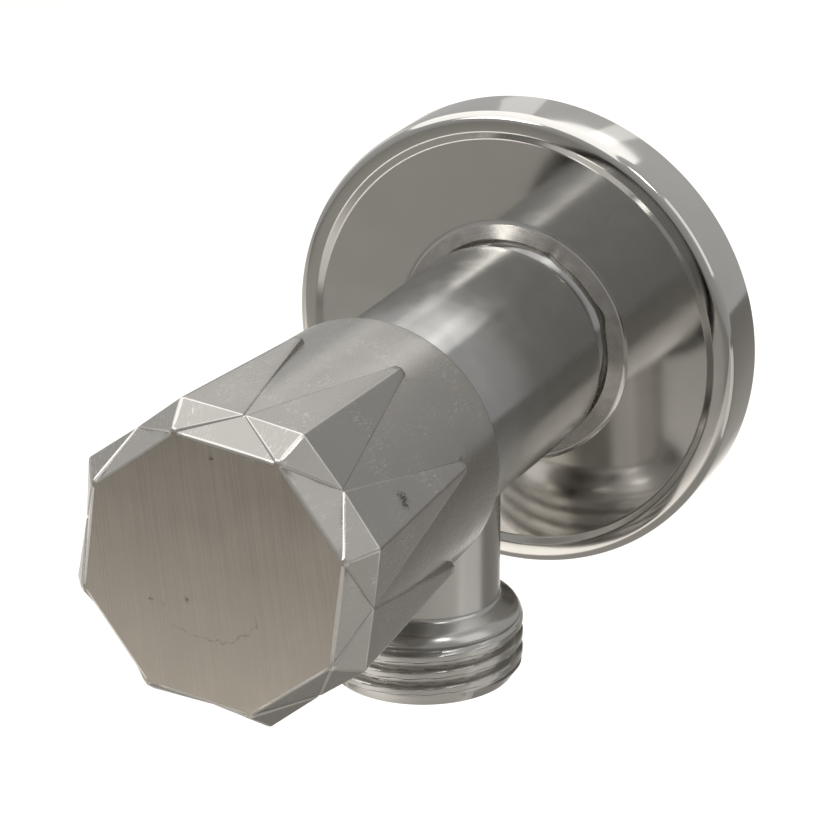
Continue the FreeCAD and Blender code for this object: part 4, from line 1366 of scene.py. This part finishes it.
    def close_inside(self, shell: Shell, last: Sequence[int]) -> None:
        """Roll the skirt over its rear rim and line the hollow up to the hub's seat.

        Args:
            shell: the mesh so far.
            last: the last row of the outside.
        """
        bearings = [math.atan2(shell.points[number].x, shell.points[number].z) for number in last]
        corners = [
            Corner(self.rear_radius, self.rear + self.rim + 0.1 * MM),
            Corner(self.rear_radius, self.rear, self.rim),
            Corner(self.mouth, self.rear, self.mouth_round),
            Corner(self.cavity_end, self.ceiling, self.cavity_round),
            Corner(self.hub, self.ceiling, self.cavity_round),
            Corner(self.hub, self.hub_back, self.hub_round),
            Corner(self.seat_radius, self.hub_back, self.seat_round),
            Corner(self.seat_radius, self.seat_end, self.seat_corner),
            Corner(self.seat_middle, self.seat_end),
        ]
        outline = rounded_outline(corners, closed=False)[1:]
        before = list(last)
        for radius, station in outline:
            ring = shell.ring([on_axis(Axis.INLET, radius, station, bearing) for bearing in bearings])
            outside = radius > self.rear_radius - 0.7 * self.rim
            shell.bridge(before, ring, KnobZone.SKIRT if outside else KnobZone.HOLLOW)
            before = ring
        shell.cap(before, Vector((0.0, -self.seat_end, 0.0)), KnobZone.HOLLOW)

    def screw_direction(self) -> Vector:
        """The direction from the axis through the set screw, read from its node."""
        low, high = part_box("knob_set_screw")
        middle = (low + high) / 2.0
        return Vector((middle.x, 0.0, middle.z)).normalized()

    def rib(self) -> bpy.types.Object:
        """The block between the hub and the skirt that carries the set screw.

        Returns:
            The object.
        """
        out = self.screw_direction()
        side = Vector((out.z, 0.0, -out.x))
        low = self.screw_station - self.rib_half
        high = self.ceiling + self.rib_sunk
        shell = Shell()
        rings = []
        for reach in (self.hub - self.rib_root, self.mouth + self.rib_tip):
            corners = []
            for across, station in ((-1, low), (1, low), (1, high), (-1, high)):
                corners.append(out * reach + side * (across * self.rib_half) + Vector((0.0, -station, 0.0)))
            rings.append(shell.ring(corners))
        shell.bridge(rings[0], rings[1], KnobZone.HOLLOW)
        for ring in rings:
            shell.faces.append(tuple(ring))
            shell.zones.append(KnobZone.HOLLOW)
        return shell.build("rib")

    def drill(self) -> bpy.types.Object:
        """The form of the set screw's hole.

        Returns:
            The object, to be cut out.
        """
        out = self.screw_direction()
        side = Vector((out.z, 0.0, -out.x))
        shell = Shell()
        rings = []
        for reach in (self.seat_radius - self.drill_root, self.edge_corner + self.drill_spare):
            places = []
            for step in range(self.drill_sides):
                angle = TURN * step / self.drill_sides
                rim = side * (self.screw_hole * math.cos(angle))
                rim += Vector((0.0, -self.screw_station + self.screw_hole * math.sin(angle), 0.0))
                places.append(out * reach + rim)
            rings.append(shell.ring(places))
        shell.bridge(rings[0], rings[1], KnobZone.HOLLOW)
        for ring in rings:
            shell.faces.append(tuple(ring))
            shell.zones.append(KnobZone.HOLLOW)
        return shell.build("drill")

    def build(self, finishes: Finishes) -> list[bpy.types.Object]:
        """Build and dress the knob.

        Args:
            finishes: the valve's finishes.

        Returns:
            The pieces.
        """
        piece, rib, drill = self.skin(), self.rib(), self.drill()
        for finish in (finishes.face, finishes.skirt, finishes.edge, finishes.hollow):
            material = finish.material()
            for part in (piece, rib, drill):
                part.data.materials.append(material)
        combine(piece, rib, Joining.ADD)
        combine(piece, drill, Joining.CUT)
        smooth(piece, self.sharp_degrees)
        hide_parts("knob")
        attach(piece, "handle")
        return [piece]


@dataclass
class Cartridge:
    """The working pieces inside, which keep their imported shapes."""

    sharp_degrees: float = 28.0

    def dress(self, node: str, finish: Steel | Soft) -> bpy.types.Object:
        """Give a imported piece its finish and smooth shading.

        Args:
            node: the piece's name.
            finish: its finish.

        Returns:
            The piece.
        """
        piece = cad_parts[node]
        piece.data.shade_smooth()
        piece.data.set_sharp_from_angle(angle=math.radians(self.sharp_degrees))
        piece.data.materials.clear()
        piece.data.materials.append(finish.material())
        return piece

    def build(self, finishes: Finishes) -> list[bpy.types.Object]:
        """Dress every inner piece.

        Args:
            finishes: the valve's finishes.

        Returns:
            The pieces.
        """
        wanted = {
            "cartridge_housing": finishes.brass, "spindle": finishes.brass, "knob_insert": finishes.brass,
            "fixed_disc": finishes.ceramic, "moving_disc": finishes.ceramic,
            "seat_seal": finishes.rubber, "housing_ring": finishes.rubber,
            "spindle_ring_rear": finishes.rubber, "spindle_ring_front": finishes.rubber,
            "thrust_washer": finishes.plastic, "retaining_clip": finishes.screw,
            "knob_set_screw": finishes.screw,
        }
        return [self.dress(node, finish) for node, finish in wanted.items()]


@dataclass(frozen=True)
class Lamp:
    """A soft rectangular lamp; its radiance is how bright its face is, where white is 1."""

    name: str
    place: tuple[float, float, float]
    aim: tuple[float, float, float]
    size: tuple[float, float]
    radiance: float

    def hang(self) -> bpy.types.Object:
        """Put the lamp in the scene.

        Returns:
            The lamp.
        """
        light = bpy.data.lights.new(self.name, "AREA")
        light.shape = "RECTANGLE"
        light.size, light.size_y = self.size
        light.energy = self.radiance * math.pi * self.size[0] * self.size[1]
        lamp = bpy.data.objects.new(self.name, light)
        lamp.location = self.place
        lamp.rotation_mode = "QUATERNION"
        aim = Vector(self.aim) - Vector(self.place)
        lamp.rotation_quaternion = aim.to_track_quat("-Z", "Y")
        bpy.context.scene.collection.objects.link(lamp)
        return lamp


@dataclass
class Studio:
    """A floor, pale in the picture, with painted shade and a painted shadow round the valve, under soft
    lamps, in a room that is lighter overhead, behind and on the left.
    """

    floor_depth: float = 0.40
    floor_half: float = 3.0
    floor_white: float = 0.93
    # The grey level and the spans below paint shade onto the floor behind the valve on the right and a
    # painted shadow under it; the dim and far spans paint light falling off in front.
    floor_painted_shade: float = 0.37
    floor_tint: tuple[float, float, float] = (1.0, 0.97, 0.92)
    floor_roughness: float = 0.9
    floor_sheen: float = 0.2
    painted_shade_across: tuple[float, float] = (-0.14, 0.04)
    painted_shade_behind: tuple[float, float] = (-0.25, -0.02)
    painted_shadow_under: tuple[float, float] = (0.42, 0.60)
    painted_falloff_front: tuple[float, float] = (-0.90, -0.81)
    painted_falloff_share: float = 0.38
    far_painted_light_front: tuple[float, float] = (-1.13, -0.98)
    far_painted_light_share: float = 0.13
    horizon: float = 0.60
    zenith: float = 0.80
    front_share: float = 0.53
    back_share: float = 0.78
    left_share: float = 1.12
    right_share: float = 1.0
    lamps: tuple[Lamp, ...] = (
        Lamp("overhead", (-0.40, 0.25, 0.62), (-0.40, 0.25, 0.0), (1.2, 1.6), 1.0),
        Lamp("floor_wash", (-0.50, 1.05, -0.03), (-0.50, 1.05, -0.4), (1.0, 1.2), 0.85),
        Lamp("front_wash", (-0.42, -0.68, -0.10), (-0.42, -0.68, -0.4), (0.5, 0.3), 2.8),
        Lamp("right_fill", (0.50, -0.02, 0.32), (0.0, -0.03, 0.0), (0.35, 0.35), 0.65),
        Lamp("right_low", (0.50, 0.06, -0.29), (0.0, -0.03, -0.02), (0.40, 0.40), 0.50),
        Lamp("left_fill", (-0.52, 0.27, 0.15), (0.0, -0.03, 0.0), (0.30, 0.30), 0.4),
        Lamp("back_strip_left", (-0.22, 0.48, 0.21), (0.0, -0.03, 0.0), (0.06, 0.22), 0.35),
        Lamp("back_strip_right", (-0.01, 0.48, 0.29), (0.0, -0.03, 0.0), (0.06, 0.22), 0.45),
        Lamp("right_key", (0.26, -0.21, 0.45), (0.0, -0.04, 0.0), (0.10, 0.10), 6.0),
        Lamp("front_key", (-0.28, -0.48, 0.38), (0.0, -0.06, 0.0), (0.20, 0.20), 5.0),
    )

    def floor(self) -> bpy.types.Object:
        """Lay the floor: white in the picture, with painted shade behind the valve on the right, a painted
        shadow under it and a painted falloff of light that makes it dimmer far in front.

        Returns:
            The floor.
        """
        shell = Shell()
        half = self.floor_half
        ring = shell.ring([Vector((x * half, y * half, -self.floor_depth))
                           for x, y in ((-1, -1), (1, -1), (1, 1), (-1, 1))])
        shell.faces.append(tuple(ring))
        shell.zones.append(0)
        piece = shell.build("floor")
        graph = ShaderGraph("floor_with_painted_shade")
        split = graph.add("ShaderNodeSeparateXYZ", {0: graph.place})
        across, along = split.outputs[0], split.outputs[1]
        # Painted shade behind the valve on the right, joined with a painted shadow round the place under it.
        behind = graph.math("MULTIPLY", graph.remap(across, *self.painted_shade_across, 0.0, 1.0),
                            graph.remap(along, *self.painted_shade_behind, 0.0, 1.0))
        away = graph.math("SQRT", graph.math("ADD", graph.math("MULTIPLY", across, across),
                                             graph.math("MULTIPLY", along, along)))
        painted_shade = graph.math("MAXIMUM", behind, graph.remap(away, *self.painted_shadow_under, 1.0, 0.0))
        # Painted falloff of light: darker in front of the valve, a little lighter again far out.
        front = graph.math("ADD", graph.remap(along, *self.painted_falloff_front, self.painted_falloff_share, 1.0),
                           graph.remap(along, *self.far_painted_light_front, self.far_painted_light_share, 0.0))
        level = graph.math("MULTIPLY", graph.remap(painted_shade, 0.0, 1.0, self.floor_white, self.floor_painted_shade), front)
        graph.tree.links.new(graph.scaled(self.floor_tint, level), graph.shader.inputs["Base Color"])
        graph.shader.inputs["Roughness"].default_value = self.floor_roughness
        graph.shader.inputs["Specular IOR Level"].default_value = self.floor_sheen
        piece.data.materials.append(graph.material)
        return piece

    def room(self) -> None:
        """Light the scene from all round: the level rises upwards, to the back and to the left."""
        world = bpy.data.worlds.new("soft_room")
        bpy.context.scene.world = world
        world.use_nodes = True
        tree = world.node_tree
        place = tree.nodes.new("ShaderNodeTexCoord")
        split = tree.nodes.new("ShaderNodeSeparateXYZ")
        tree.links.new(place.outputs["Generated"], split.inputs[0])
        level = None
        for axis, start, low, high in ((2, 0.0, self.horizon, self.zenith),
                                       (1, -1.0, self.front_share, self.back_share),
                                       (0, -1.0, self.left_share, self.right_share)):
            ramp = tree.nodes.new("ShaderNodeMapRange")
            ramp.inputs[1].default_value = start
            ramp.inputs[3].default_value = low
            ramp.inputs[4].default_value = high
            tree.links.new(split.outputs[axis], ramp.inputs[0])
            if level is None:
                level = ramp.outputs[0]
                continue
            product = tree.nodes.new("ShaderNodeMath")
            product.operation = "MULTIPLY"
            tree.links.new(level, product.inputs[0])
            tree.links.new(ramp.outputs[0], product.inputs[1])
            level = product.outputs[0]
        tree.links.new(level, tree.nodes["Background"].inputs["Strength"])
        tree.nodes["Background"].inputs["Color"].default_value = (1.0, 1.0, 1.0, 1.0)

    def build(self) -> None:
        """Set the whole studio up."""
        self.floor()
        self.room()
        for lamp in self.lamps:
            lamp.hang()
        bpy.context.scene.view_settings.view_transform = "Standard"


@dataclass
class PhotoCamera:
    """The camera at the photograph's angle, found by fitting the valve's sizes to the picture."""

    azimuth: float = math.radians(25.233)
    elevation: float = math.radians(21.615)
    roll: float = math.radians(-0.123)
    distance: float = 0.4519
    aim: tuple[float, float, float] = (0.000017, -0.029855, -0.00087)
    focal_pixels: float = 4399.7
    picture_pixels: float = 828.0
    centre_x: float = 419.0
    centre_y: float = 421.1
    film: float = 36.0

    def build(self) -> bpy.types.Object:
        """Make the scene's camera.

        Returns:
            The camera.
        """
        data = bpy.data.cameras.new("photo_camera")
        data.sensor_width = self.film
        data.lens = self.focal_pixels / self.picture_pixels * self.film
        half = self.picture_pixels / 2.0
        data.shift_x = (half - self.centre_x) / self.picture_pixels
        data.shift_y = (self.centre_y - half) / self.picture_pixels
        data.clip_start = 0.01
        data.clip_end = 20.0
        back = Vector((math.sin(self.azimuth) * math.cos(self.elevation),
                       -math.cos(self.azimuth) * math.cos(self.elevation), math.sin(self.elevation)))
        camera = bpy.data.objects.new("photo_camera", data)
        camera.location = Vector(self.aim) + back * self.distance
        camera.rotation_mode = "QUATERNION"
        camera.rotation_quaternion = (-back).to_track_quat("-Z", "Y") @ Quaternion((0.0, 0.0, 1.0), self.roll)
        bpy.context.scene.collection.objects.link(camera)
        bpy.context.scene.camera = camera
        return camera


def main() -> None:
    """Build the valve's pieces in order, then the studio and the camera."""
    logging.basicConfig(level=logging.INFO, format="%(name)s: %(message)s")
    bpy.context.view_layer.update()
    finishes = Finishes()
    for maker in (ValveBody(), WallFlange(), Knob(), Cartridge()):
        for piece in maker.build(finishes):
            LOG.info("%s: %s, %d faces", type(maker).__name__, piece.name, len(piece.data.polygons))
    Studio().build()
    PhotoCamera().build()


if __name__ == "__main__":
    main()
